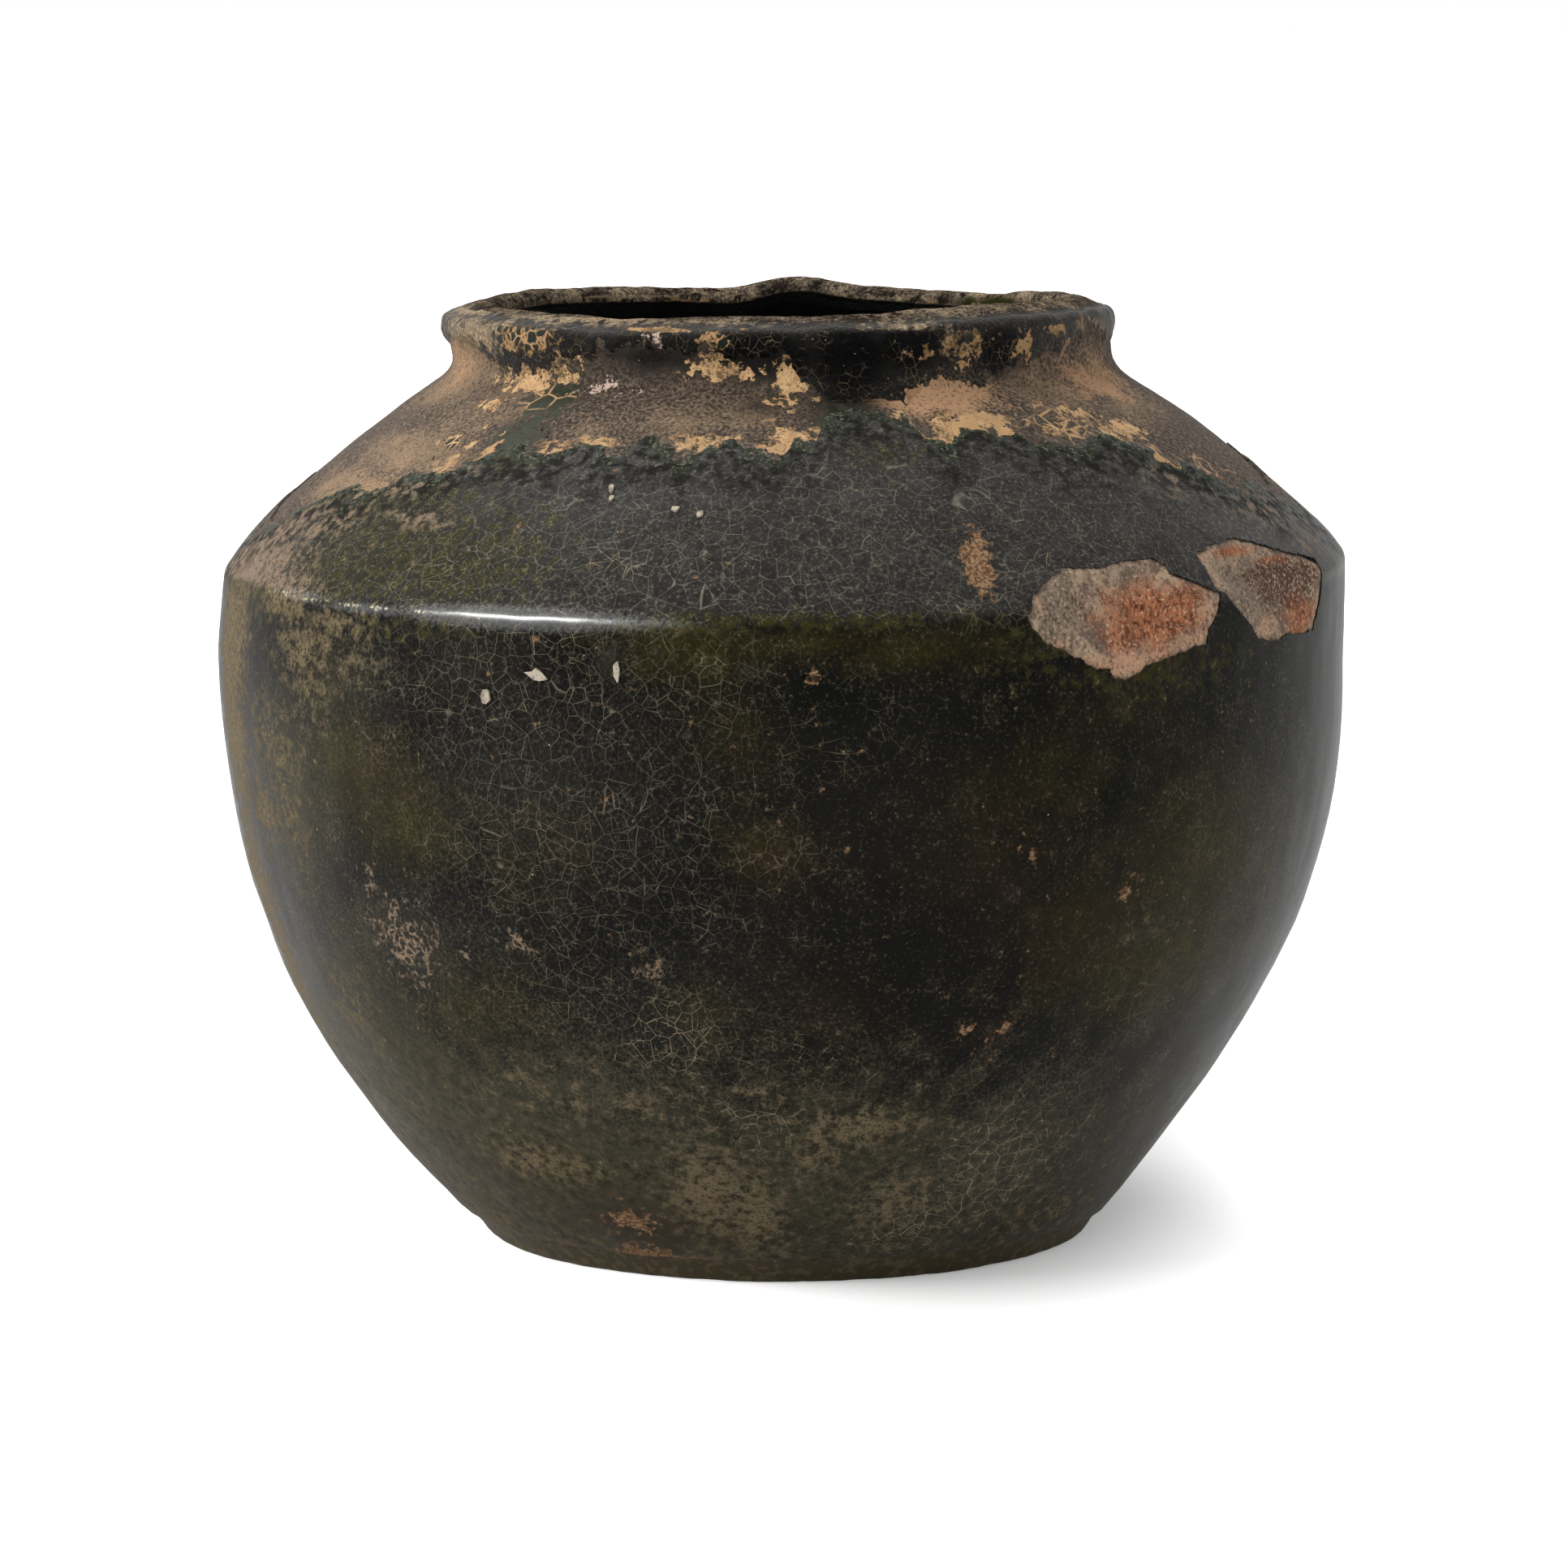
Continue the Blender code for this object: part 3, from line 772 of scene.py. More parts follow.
# %% The outlines of the spalls
SPALLS = {
    "large_spall": (11, (
        (23.7, 195.7), (24.8, 200.7), (26.6, 203.4), (28.8, 206.9), (31.2, 206.2), (33.6, 206.3),
        (36.2, 207.4), (38.9, 207.2), (40.2, 206.9), (41.1, 205.8), (41.3, 203), (44.2, 200.1),
        (46.9, 196.8), (46.6, 191.9), (45.2, 188.4), (45, 184.4), (42.8, 184.2), (40.6, 182.9),
        (38.1, 180.8), (36.9, 180.7), (36.3, 179.3), (35.4, 178.6), (34.6, 177.2), (33.9, 177.9),
        (33.4, 178.1), (33.1, 179.6), (32.9, 181), (31.2, 181.3), (29.8, 183.5), (28.4, 184.8),
        (26.9, 187.6), (25.6, 189.2),
    )),
    "small_spall": (47, (
        (47.2, 207.3), (50.4, 209.1), (54.7, 210.2), (56.7, 209), (62.9, 204.4), (68.8, 200.3),
        (68.3, 195.4), (67.5, 189), (65.8, 183.4), (62.2, 183), (59.9, 184.3), (58, 183.1), (56, 182.8),
        (53.7, 184.5), (51.6, 189.5), (49.3, 194.7), (47, 198.7), (47.1, 201.5), (47, 205.6),
    )),
}  # the seed of each one's roughness, and its outline in degrees from the front to the right and mm of height
SPALL_TURNS, SPALL_HEIGHTS = (15, 77), (0.165, 0.222)  # both lie well inside these
SPALL_SPREAD = 0.0008  # how far the break runs beyond the measured outline

# Width of the grain in metres, how deep it is, and a number that sets its noise apart
OUTLINE_GRAINS = ((0.0045, 0.0007, 0), (0.0017, 0.00045, 3))
SCAR_GRAINS = ((0.0085, 0.0007, 5), (0.0028, 0.00035, 7), (0.0011, 0.00022, 9))

surface_line, surface_gone = measured(outside)
for name, (seed, places) in SPALLS.items():
    print(name, "outline of", len(places), "places")


# %% How far a place lies inside a spall
def inside_by(outline, across, up):
    """How far places lie inside a closed outline, less than nothing if outside."""
    nearest = np.full(len(across), np.inf)
    within = np.zeros(len(across), bool)
    for (ax, ay), (bx, by) in zip(outline, outline[1:] + outline[:1]):
        wide, tall = bx - ax, by - ay
        share = np.clip(((across - ax) * wide + (up - ay) * tall) / (wide ** 2 + tall ** 2), 0, 1)
        nearest = np.minimum(nearest, np.hypot(across - ax - share * wide, up - ay - share * tall))
        within ^= ((ay > up) != (by > up)) & (across < ax + (up - ay) * wide / (tall + 1e-12))
    return np.where(within, nearest, -nearest)


def relief(places, seed, grains):
    """Soft noise in several sizes of grain."""
    total = 0
    for grain, depth, apart in grains:
        shift = Vector((seed + apart, (seed + apart) * 0.7, (seed + apart) * 1.3))
        total += np.array([noise.noise(Vector(place) / grain + shift) for place in places]) * depth
    return total


def unrolled(places):
    """The outline of a flake in metres round and up the wall."""
    up = np.interp([mm / 1000 for degrees, mm in places], surface_line[:, 1], surface_gone)
    return [(math.radians(degrees) * EDGE_RADIUS, rise) for (degrees, mm), rise in zip(places, up)]


def into_flake(across, up, seed, places):
    """How far places on the unrolled wall lie inside the ragged outline of a flake."""
    flat = np.stack([across, up, np.zeros(len(up))], axis=1)
    return inside_by(unrolled(places), across, up) + relief(flat, seed, OUTLINE_GRAINS) + SPALL_SPREAD


def from_spalls(piece):
    """How far the points of a piece lie inside the nearer of the two scars."""
    azimuth, radius, height = turned_places(piece)
    inside = np.full(len(height), -1.0)
    near = (azimuth > math.radians(SPALL_TURNS[0])) & (azimuth < math.radians(SPALL_TURNS[1]))
    near &= (height > SPALL_HEIGHTS[0]) & (height < SPALL_HEIGHTS[1])
    across, up = azimuth[near] * EDGE_RADIUS, np.interp(height[near], surface_line[:, 1], surface_gone)
    inside[near] = np.max([into_flake(across, up, *spall) for spall in SPALLS.values()], axis=0)
    return inside


# %% The cutter of a spall
GLAZE_BREAK, BREAK_REACH = 0.0006, 0.0003  # the sharp step down at the outline, and how far in it ends
SPALL_DEPTH, SPALL_SLOPE = 0.0024, 0.012  # the scar's floor, and how far in it is reached
SPALL_HOLLOW, HOLLOW_REACH = 0.0014, 0.018  # the shell-like hollow in the floor
ROUGH_REACH = 0.003  # how far in the floor is fully rough
THROUGH_GLAZE = 0.0030
CUTTER_SINK = 0.0001  # keeps the cutter's floor off the surface that it cuts
SPALL_MARGIN = 0.0050
SPALL_STEP = 0.0006  # between the grid's points
SPALL_RISE = 0.0120
SPALL_TILT = math.radians(25)  # up from level, the way in which the flakes came off


def sunk_by(depth, flat, seed, through):
    """How deep the cutter's floor lies: sunk inside the outline, raised outside it."""
    if through:
        sunk = THROUGH_GLAZE * eased(depth / BREAK_REACH)
    else:
        sunk = GLAZE_BREAK * eased(depth / BREAK_REACH) + SPALL_DEPTH * eased(depth / SPALL_SLOPE)
        sunk += SPALL_HOLLOW * eased(depth / HOLLOW_REACH)
        sunk += relief(flat, seed, SCAR_GRAINS) * eased(depth / ROUGH_REACH)
    return np.where(depth > 0, sunk, np.maximum(depth * 1.2, -SPALL_RISE / 3)) - CUTTER_SINK


def flake_cutter(name, seed, places, through):
    """The flake as a closed body, whose underside is the floor of the scar."""
    outline = unrolled(places)
    low, high = np.min(outline, axis=0) - SPALL_MARGIN, np.max(outline, axis=0) + SPALL_MARGIN
    (wide, tall), centre = high - low, (low + high) / 2
    piece = new(
        name, bpy.ops.mesh.primitive_grid_add, size=1, location=(*centre, 0),
        x_subdivisions=round(wide / SPALL_STEP), y_subdivisions=round(tall / SPALL_STEP),
    )
    piece.scale = (wide, tall, 1)
    bpy.ops.object.transform_apply()
    flat = places_of(piece)
    out = COAT - sunk_by(into_flake(flat[:, 0], flat[:, 1], seed, places), flat, seed, through)
    radius = np.interp(flat[:, 1], surface_gone, surface_line[:, 0]) + out * math.cos(SPALL_TILT)
    height = np.interp(flat[:, 1], surface_gone, surface_line[:, 1]) + out * math.sin(SPALL_TILT)
    put(piece, thrown(flat[:, 0] / EDGE_RADIUS, radius, height))
    edit_all()
    middle = centre[0] / EDGE_RADIUS
    level = math.cos(SPALL_TILT)
    away = Vector((math.sin(middle) * level, -math.cos(middle) * level, math.sin(SPALL_TILT)))
    bpy.ops.mesh.extrude_region_move(TRANSFORM_OT_translate={"value": away * SPALL_RISE})
    close_edit()
    return piece


def cut(piece, cutter):
    """Takes the cutter out of a piece, and puts the cutter away."""
    before = len(piece.data.polygons)
    apply(piece, "BOOLEAN", operation="DIFFERENCE", object=cutter, solver="MANIFOLD")
    print(piece.name, "cut by", cutter.name, ":", before, "to", len(piece.data.polygons), "faces")
    bpy.data.objects.remove(cutter)


# %% Swell the clay and cut the spalls
SWELL, SWELL_REACH = 0.0008, 0.004  # under the glaze round the scars, which looks as thin there as on a shard

places = places_of(clay)
normals = np.empty(places.size, np.float32)
clay.data.vertices.foreach_get("normal", normals)
normals = normals.reshape(-1, 3)
outwards = (normals[:, :2] * places[:, :2]).sum(axis=1) > 0
put(clay, places + normals * (SWELL * eased(1 + from_spalls(clay) / SWELL_REACH) * outwards)[:, None])

for name, spall in SPALLS.items():
    for piece in (coat, clay):
        cut(piece, flake_cutter(name, *spall, through=piece == coat))

# %% [markdown]
# ## Small hurts
#
# A burst blister in the glaze, two fine cracks and a few knocks at the foot are holes with a shape of their
# own. Each is cut with a ball that is squashed to its size, turned to face the wall and roughened. The same
# ball cuts the glaze and the clay.

# %% Find places on the wall
whole_line, whole_gone = measured(outside + fillet + lip)
rising = np.argmax(whole_line[:, 1]) + 1  # the points up to the crest


def up_the_wall(height):
    """How long the outline is from the foot's turn up to a height."""
    return np.interp(height, whole_line[:rising, 1], whole_gone[:rising])


# %% Cut the small hurts
HURTS = (
    ("burst_blister", 2.9, 181.7, 3.2, 1.3, 2.4, 8), ("left_crack", -75.4, 191.9, 0.45, 6.5, 2.6, 3),
    ("neck_crack", 58.5, 251.4, 0.60, 3.4, 3.4, -24), ("left_knock", -52.0, 2.0, 3.2, 1.5, 1.2, 0),
    ("front_knock", -16.0, 0.6, 4.5, 1.2, 1.0, 0), ("right_knock", 31.0, 0.8, 3.6, 1.4, 1.1, 0),
    ("far_knock", 66.0, 0.6, 5.0, 1.3, 1.0, 0), ("back_knock", 171.0, 0.8, 4.0, 1.5, 1.2, 0),
)  # name, degrees, height in mm, half width, half height and depth in mm, degrees that it leans
BARE_FOOT = 7.5  # below this height in mm a hurt is in bare clay
BROKEN_RIM = ("broken_rim", 0.0022, 0.0004)


def on_the_wall(degrees, mm, raised):
    """A place over the outer wall, and how far up the wall faces there."""
    up = up_the_wall(mm / 1000)
    (radius, height), (ahead_radius, ahead_height) = (
        [np.interp(place, whole_gone, whole_line[:, part]) for part in (0, 1)] for place in (up, up + 0.001)
    )
    faces = Vector((ahead_height - height, radius - ahead_radius)).normalized()
    azimuth = np.array([math.radians(degrees)])
    place = thrown(azimuth, np.array([radius + raised * faces.x]), np.array([height + raised * faces.y]))[0]
    return Vector(place), math.atan2(faces.y, faces.x)


def squashed_ball(name, degrees, mm, wide, tall, deep, lean):
    place, tilt = on_the_wall(degrees, mm, COAT)
    ball = new(name, bpy.ops.mesh.primitive_ico_sphere_add, subdivisions=4, radius=1, location=place)
    ball.scale = (wide / 1000, deep / 1000, tall / 1000)
    ball.rotation_euler = (
        Matrix.Rotation(math.radians(degrees), 3, "Z") @ Matrix.Rotation(-tilt, 3, "X")
        @ Matrix.Rotation(math.radians(lean), 3, "Y")
    ).to_euler()
    bpy.ops.object.transform_apply()
    roughen(ball, *BROKEN_RIM)
    return ball


for name, degrees, mm, *size in HURTS:
    for piece in (coat, clay) if mm > BARE_FOOT else (clay,):
        cut(piece, squashed_ball(name, degrees, mm, *size))

# %% [markdown]
# ## Stuck flakes
#
# The pale scraps on the shoulder and belly stand on the glaze, so they are thin plates of their own. Each is
# a seven-sided disc, drawn out to its size, thickened, and pressed a little into the glaze.

# %% Press on the flakes
FLAKE_THICK = 0.0007
FLAKE_SIDES = 7
FLAKE_JITTER = 0.45  # how far its corners stray, as a share of its radius
FLAKES = (
    (-23.4, 181.1, 3.0, 1.8, -12), (-28.6, 174.5, 1.4, 2.3, -8), (-15.5, 183.3, 0.8, 2.9, 8),
    (-20.8, 227.7, 0.7, 1.6, 10), (-20.3, 225.3, 0.6, 1.2, 0), (-12.4, 223, 1.0, 0.9, 0),
    (-9.6, 221.9, 1.3, 1.2, 5),
)  # degrees, height in mm, half width, half height, degrees that it leans


def flake(degrees, mm, wide, tall, lean):
    place, tilt = on_the_wall(degrees, mm, COAT - FLAKE_THICK / 2)
    piece = new(
        "lime_flake", bpy.ops.mesh.primitive_circle_add, vertices=FLAKE_SIDES, radius=1, fill_type="NGON",
    )
    edit_all()
    bpy.ops.transform.vertex_random(offset=FLAKE_JITTER, uniform=0.5, seed=round(mm * 10))
    bpy.ops.transform.resize(value=(wide / 1000, tall / 1000, 0), center_override=(0, 0, 0))
    bpy.ops.mesh.extrude_region_move(TRANSFORM_OT_translate={"value": (0, 0, FLAKE_THICK)})
    close_edit()
    piece.rotation_euler = (
        Matrix.Rotation(math.radians(degrees), 3, "Z") @ Matrix.Rotation(math.pi / 2 - tilt, 3, "X")
        @ Matrix.Rotation(math.radians(lean), 3, "Z")
    ).to_euler()
    piece.location = place
    bpy.ops.object.transform_apply()
    return piece


scraps = [flake(*row) for row in FLAKES]
select_only(scraps[0])
for scrap in scraps:
    scrap.select_set(True)
bpy.ops.object.join()
flakes = bpy.context.active_object
flakes.name = flakes.data.name = "lime_flakes"
print("flakes:", len(FLAKES), "in", flakes.name)

# %% [markdown]
# ## Painting where the wear lies
#
# Soil, bare patches, cloudy colour and crazing each lie in places of their own on an old pot. Each is kept
# as a short list of soft dabs, and every point of the mesh gets a value from them: 1 in the middle of a dab,
# a half at its rim and 0 at twice its size. The finish reads the value as an attribute. Its own noise then
# breaks the soft rim up into the ragged one that wear leaves.

# %% Dabs: degrees to the right, height in mm, half width in mm, half height in mm, strength
SOIL = (
    (53.2, 227.7, 14.2, 7.7, 0.5), (-58.8, 143.5, 13.6, 26.6, 0.6), (-64.5, 132.3, 13.2, 14.5, 0.7),
    (-52.3, 168.3, 15.4, 11, 0.55), (-77.6, 212.2, 48.9, 10.2, 0.9), (-71.7, 202.2, 30.6, 9.8, 1),
    (-72.3, 181.1, 15.4, 19.8, 1.1), (-72.5, 153, 14.7, 28.9, 0.95), (-73.4, 110.1, 16.7, 31.5, 0.8),
    (-72.1, 81.7, 14.4, 29.5, 0.75), (-53.1, 181.7, 19, 8.8, 0.72), (-58.4, 195.1, 17.2, 6.7, 0.85),
    (-48.4, 190.7, 19.2, 5.7, 0.6), (-45.8, 178.9, 16.8, 6.6, 0.55), (-61.2, 156.6, 17.3, 13.3, 0.6),
    (-55.7, 226.9, 19.9, 5.7, 0.75), (-48.2, 231.5, 15.4, 5.1, 0.75), (-57.1, 216.2, 15.6, 6.9, 0.55),
    (-35.6, 37.3, 19, 8.8, 0.74), (-26.6, 36.8, 14.7, 4.1, 0.6), (-9.9, 31.4, 12.2, 19, 0.85),
    (-3.8, 23.5, 9, 21.5, 0.82), (10.2, 52.4, 18.3, 8.1, 0.78), (16.1, 28, 13.9, 12.9, 0.68),
    (-31.1, 64.1, 14.1, 6.6, 0.5), (-25.4, 57.8, 11, 9.3, 0.5), (-13.4, 101.1, 8.1, 3.5, 0.5),
    (27.1, 36.7, 19.6, 13.6, 0.4), (-55.3, 15.4, 34.5, 18.6, 0.5), (4.4, 44.9, 8.8, 9.4, 0.7),
    (-17, 59.3, 7.1, 6.1, 0.6), (-2.6, 63, 9.6, 4.7, 0.6), (66.5, 217.8, 22.2, 6.4, 0.5),
    (72.1, 207.7, 15.6, 6.2, 0.5), (-39.4, 8.1, 33.3, 7.7, 0.6), (-9.3, 6.4, 35.8, 5.3, 0.6),
    (47.8, 16.5, 34.2, 10.7, 0.5), (-56.6, 78.1, 15.3, 14.6, 0.5), (-43.5, 218.4, 15, 4.1, 0.6),
    (40.5, 107.4, 12.8, 5, 0.4), (-0.4, 133.8, 14.1, 6.7, 0.35),
)
OLIVE = (
    (-56.4, 135, 17, 33.9, 0.7), (-49.6, 173.5, 19.2, 13.2, 0.5), (-46.5, 150.5, 23.4, 13.3, 0.85),
    (-39.4, 137.6, 19.9, 13.3, 0.8), (-61.8, 197.7, 31.4, 9, 0.6), (-8.3, 188.5, 23, 8.8, 0.7),
    (-4.6, 165.8, 15.4, 11, 0.5), (3.7, 190.8, 38.4, 5.3, 0.6), (33.8, 168.1, 33.7, 13.2, 0.42),
    (26.8, 151.5, 28.7, 17.7, 0.5), (48.7, 123.5, 41.1, 31.6, 0.75), (45.7, 96.4, 39.3, 20.4, 0.85),
    (-34.1, 83, 23.3, 20.8, 0.6), (-26.3, 129.1, 14.1, 13.4, 0.45), (-8.6, 87.4, 13.1, 10.4, 0.55),
    (-2.6, 136, 11.3, 8.9, 0.6), (30.9, 109.9, 16.5, 13.5, 0.6), (-38, 34, 41.4, 20.4, 0.6),
    (14.4, 188.1, 28.8, 6, 0.7), (-52.5, 74.7, 27.7, 38.2, 0.75),
)
BROWN = (
    (21.1, 129.9, 23.5, 14.5, 0.6), (-0.4, 131.5, 14.1, 8.9, 0.6), (30.1, 107.7, 21.9, 15.1, 0.6),
    (22.2, 78.9, 9.6, 6, 0.5), (-21.9, 13.4, 20.1, 14.4, 1), (-22.5, 21.5, 10.1, 6.1, 0.75),
    (-40.9, 148.6, 13.3, 9.7, 0.6), (-20.8, 136.7, 9.4, 9.7, 0.5), (45.8, 67.2, 25.6, 19.2, 0.5),
    (3.1, 90, 17.6, 12.8, 0.5), (-46.4, 28.9, 26, 15.2, 0.5),
)
MOSS = (
    (-58.6, 222.5, 24.7, 8.2, 1.2), (-47.6, 213.6, 30.8, 17.5, 1.25), (-53.7, 203.9, 26.2, 9.6, 1.2),
    (-35.3, 209.1, 24.5, 13.2, 1), (-30.3, 220, 17.7, 11.8, 0.5), (-8.5, 195, 21.5, 2.2, 0.9),
    (4.3, 196.2, 42, 2, 0.9), (-41.3, 191, 28.8, 3.1, 0.8), (-36.5, 235.9, 8.7, 6.7, 0.8),
    (13.3, 237.3, 12.9, 6.7, 0.6), (25.8, 186.9, 14.4, 6, 0.6), (38.9, 178.2, 34.6, 6.6, 0.6),
)
HAZE = (
    (30.5, 38.6, 22.6, 22.1, 1), (-41.4, 102.4, 19, 15.1, 0.9), (38.6, 217, 10.3, 5.9, 0.9),
    (60.7, 215.6, 23.9, 10.6, 0.7), (-59.4, 138.7, 26, 47.3, 1), (-47, 174.2, 30.3, 14.4, 0.8),
    (-25.4, 151.7, 38.2, 35.4, 0.62), (-22.3, 210.6, 36, 17.5, 0.5), (-32.2, 181.6, 21.6, 13.2, 0.6),
    (-47.3, 160.6, 34.6, 14.4, 0.5), (-12.1, 87.1, 30.5, 23.4, 0.6), (10.7, 211.3, 26.9, 11.7, 0.55),
    (25.8, 208.2, 30.2, 10.9, 0.65), (32.8, 217.7, 30.8, 11.8, 0.6), (-16.1, 185.8, 3.8, 5.2, 0.95),
    (40.6, 106.2, 9.6, 5, 0.75), (25.8, 29.1, 24.1, 19.7, 0.8), (-24, 70.6, 34.6, 23.6, 0.55),
    (-31.1, 105.1, 21.8, 15.1, 0.5), (44.4, 192.6, 10.1, 6.6, 0.5), (56.6, 134.9, 18.9, 38.8, 0.5),
    (-2.7, 183.3, 4.3, 1.8, 0.9), (8, 223.4, 5.4, 10.9, 0.8),
)
CRAZE = (
    (-25.1, 173.9, 48.1, 26.4, 1), (-19.2, 134.7, 49.5, 31.1, 0.95), (-13.6, 209.2, 52.2, 20.5, 0.75),
    (-30.8, 207.7, 25.2, 16, 0.7), (-32.3, 190.4, 40.3, 8.8, 0.9), (-7.6, 175.5, 23.1, 19.8, 0.8),
    (-11.3, 82.3, 23.7, 15.6, 0.95), (23, 21.4, 27.9, 17.9, 0.95), (21.6, 196.1, 38.2, 8.1, 0.6),
    (4.5, 225.5, 38.6, 15.1, 0.6), (2.9, 167, 26.5, 15.4, 0.6), (-22.2, 97.5, 35.8, 20.4, 0.8),
    (40.5, 83.6, 27.6, 16.9, 0.6), (28.3, 220.2, 35.3, 14.8, 0.5), (-5.6, 50.1, 58.7, 37.4, 0.7),
    (31.6, 46.1, 47.2, 37.7, 0.7), (-34.8, 45.3, 39.6, 25.2, 0.5), (45.9, 126.7, 30, 29.2, 0.4),
)
NET = (
    (31, 35.8, 15.6, 19.1, 1), (-11.3, 81.1, 9.9, 8.9, 1), (-2.6, 55.4, 13.9, 12.5, 0.6),
    (3.5, 75.5, 8.4, 8.2, 0.5), (48.5, 14.9, 21.1, 12.4, 0.6), (-14.2, 74.7, 8.4, 5.5, 0.8),
    (21.7, 21.7, 12.7, 9.3, 1), (26.3, 34.3, 11, 12.6, 0.8), (17.2, 14.1, 9.6, 5.8, 0.7),
    (-20.9, 189.7, 7.2, 2.6, 0.5), (-26.9, 164.8, 7.2, 4.4, 0.4), (-16.9, 209, 9.1, 4.7, 0.5),
    (22.3, 208.5, 8.2, 3.9, 0.7), (27, 210.1, 6.8, 2.9, 0.7),
)
# Pale cream dashes along the shoulder edge, beside its bright line
EDGE_DASHES = (
    (-58.6, 196, 9.6, 0.7, 0.75), (-52.2, 195.6, 7.6, 0.6, 0.85), (-46.9, 195.4, 6.7, 0.6, 0.8),
    (-42.2, 195.3, 6.7, 0.7, 0.75), (-37.4, 195.2, 6.9, 0.6, 0.7),
)
LACE = (
    (-42, 102.2, 10.8, 11.1, 0.75), (-34.2, 101.1, 2.7, 2, 0.8), (-45.7, 119.8, 4.6, 4.9, 0.5),
    (-27.2, 106, 4.6, 4, 0.6), (-13.5, 98.8, 5.4, 2.6, 0.6),
)
RUST = (
    (2.9, 181.3, 1.7, 1.1, 0.75), (20.1, 209.7, 3.5, 8.8, 1.25), (20.1, 81.7, 1.8, 1.6, 0.9),
    (22.6, 78.3, 3.1, 2.4, 0.9), (24.6, 80.4, 1.5, 1.6, 0.8), (-22.9, 20.1, 7.3, 4.3, 0.85),
    (-23.2, 8.1, 9.7, 4, 0.95), (36.9, 117.6, 2.8, 2, 0.7), (24.5, 131.7, 2.8, 1.8, 0.6),
)
TAN = (
    (-70.5, 256.6, 19.3, 15, 1.2), (-50.9, 245.1, 16.3, 14.4, 0.6), (-57.3, 233.6, 28.7, 9, 0.9),
    (-62.3, 224.1, 26.8, 8.2, 1), (49.6, 251.7, 19.7, 9.8, 0.8), (63.6, 246, 19.3, 8.1, 0.7),
    (-25.9, 240.8, 9.6, 8.3, 0.5), (-10.5, 245.5, 18.1, 8.7, 0.6), (-42.4, 226.9, 16.7, 6.4, 0.8),
    (-48, 254, 7, 11.6, 0.6), (67.9, 259.1, 13.1, 4, 0.7),
)
PINK = (
    (-71.6, 258.8, 13.2, 8.7, 0.5), (23.9, 252.1, 13.4, 7.4, 1.5), (64.2, 251.9, 17.7, 6.8, 0.95),
    (-55.2, 225.2, 20.2, 6.8, 0.5), (36.1, 248.4, 11.2, 5, 0.5), (56, 264.7, 3.4, 1.8, 0.9),
)
# Dark patches of black glaze on the collar and the bare band; just under the lip they are partly painted
# shade from its overhang
DARK_GLAZE_AND_PAINTED_SHADE = (
    (-3.6, 262.6, 15.9, 6.2, 1.15), (-21.2, 262.2, 19.1, 5.3, 0.9), (11.8, 262.7, 10.4, 9, 1.2),
    (21, 265.4, 9.9, 6.4, 1.1), (38.9, 264, 7.8, 6.8, 1), (9.7, 249.5, 11, 9.4, 0.8),
    (-18.4, 265.7, 38.4, 4.4, 0.6), (-36.5, 266, 11.4, 4.5, 0.5), (0.4, 264.8, 9.9, 4.5, 0.7),
    (-38.2, 237.8, 8.5, 11.3, 0.8), (11.7, 240.4, 14.5, 9, 0.8), (35.5, 234.9, 20.6, 8, 0.7),
    (29.2, 240.6, 8.3, 4.9, 0.8), (-2.5, 249.6, 8.6, 5, 0.5),
)
GREEN = (
    (-38.7, 250.6, 8.6, 8.7, 1), (-38.7, 238.8, 8.4, 11.7, 0.85), (-50.2, 237.1, 3.2, 2.3, 1),
    (7.9, 245.5, 7.7, 8.7, 0.8), (0.7, 251.3, 5, 3.6, 0.7), (39.3, 244, 5.9, 3.6, 0.7),
    (-7.1, 239.5, 5.9, 2.8, 0.7),
)
SLIP_PATCHES = (
    (-46.9, 262, 15.3, 6.5, 1), (-45.8, 254.1, 12.5, 4.4, 0.85), (-37.8, 255.1, 5.8, 2, 0.8),
    (-9.7, 258.7, 10.4, 2.4, 1.05), (-10.6, 265, 3.4, 5.1, 0.9), (2, 256.5, 4.6, 4.7, 1.05),
    (1.2, 250.2, 7, 3.9, 0.62), (1.5, 240.5, 6.4, 5.9, 1.05), (-9.4, 240, 9.5, 3.1, 0.95),
    (-7.1, 234.6, 2.5, 4, 1.05), (-25, 239.9, 4.6, 2.3, 1), (-31.5, 235.2, 5.6, 5.8, 0.85),
    (-50, 247.5, 5.9, 3.1, 0.85), (-50.2, 237.1, 5, 3.3, 0.8), (-46, 237.7, 1.9, 7, 0.75),
    (-46.6, 229.2, 5.3, 6.1, 0.62), (-41.3, 236.2, 1.7, 8.8, 0.7), (28.8, 245.3, 10.6, 3.2, 1.15),
    (23.6, 242.2, 3.5, 6.4, 1), (31.6, 242.1, 2.8, 4.9, 0.9), (33.3, 236.8, 3, 3.3, 1.1),
    (17, 246.3, 2.6, 3.2, 0.95), (54.1, 240.7, 12.3, 3.8, 0.95), (54.5, 233.2, 3.9, 5.5, 0.8),
    (41, 242.6, 6.8, 2.8, 0.7), (47.7, 245.4, 11, 3.6, 0.65), (23.3, 235.6, 1.3, 2, 0.7),
)
ISLANDS = (
    (-46.9, 262.8, 15.3, 5.6, 1), (-10.6, 266.1, 3.4, 3.6, 0.9), (-50.1, 237.1, 3.4, 2.7, 1),
    (-37.5, 250.4, 8.2, 8.3, 0.7), (4.4, 253.8, 3.3, 3, 0.5),
)
CRUST = (
    (-29.1, 252.6, 8.7, 2, 0.8), (-21.1, 268.7, 9.5, 2.3, 1), (56, 264.9, 3, 1.6, 0.9),
    (-29.1, 254.5, 2.6, 1.3, 0.8),
)
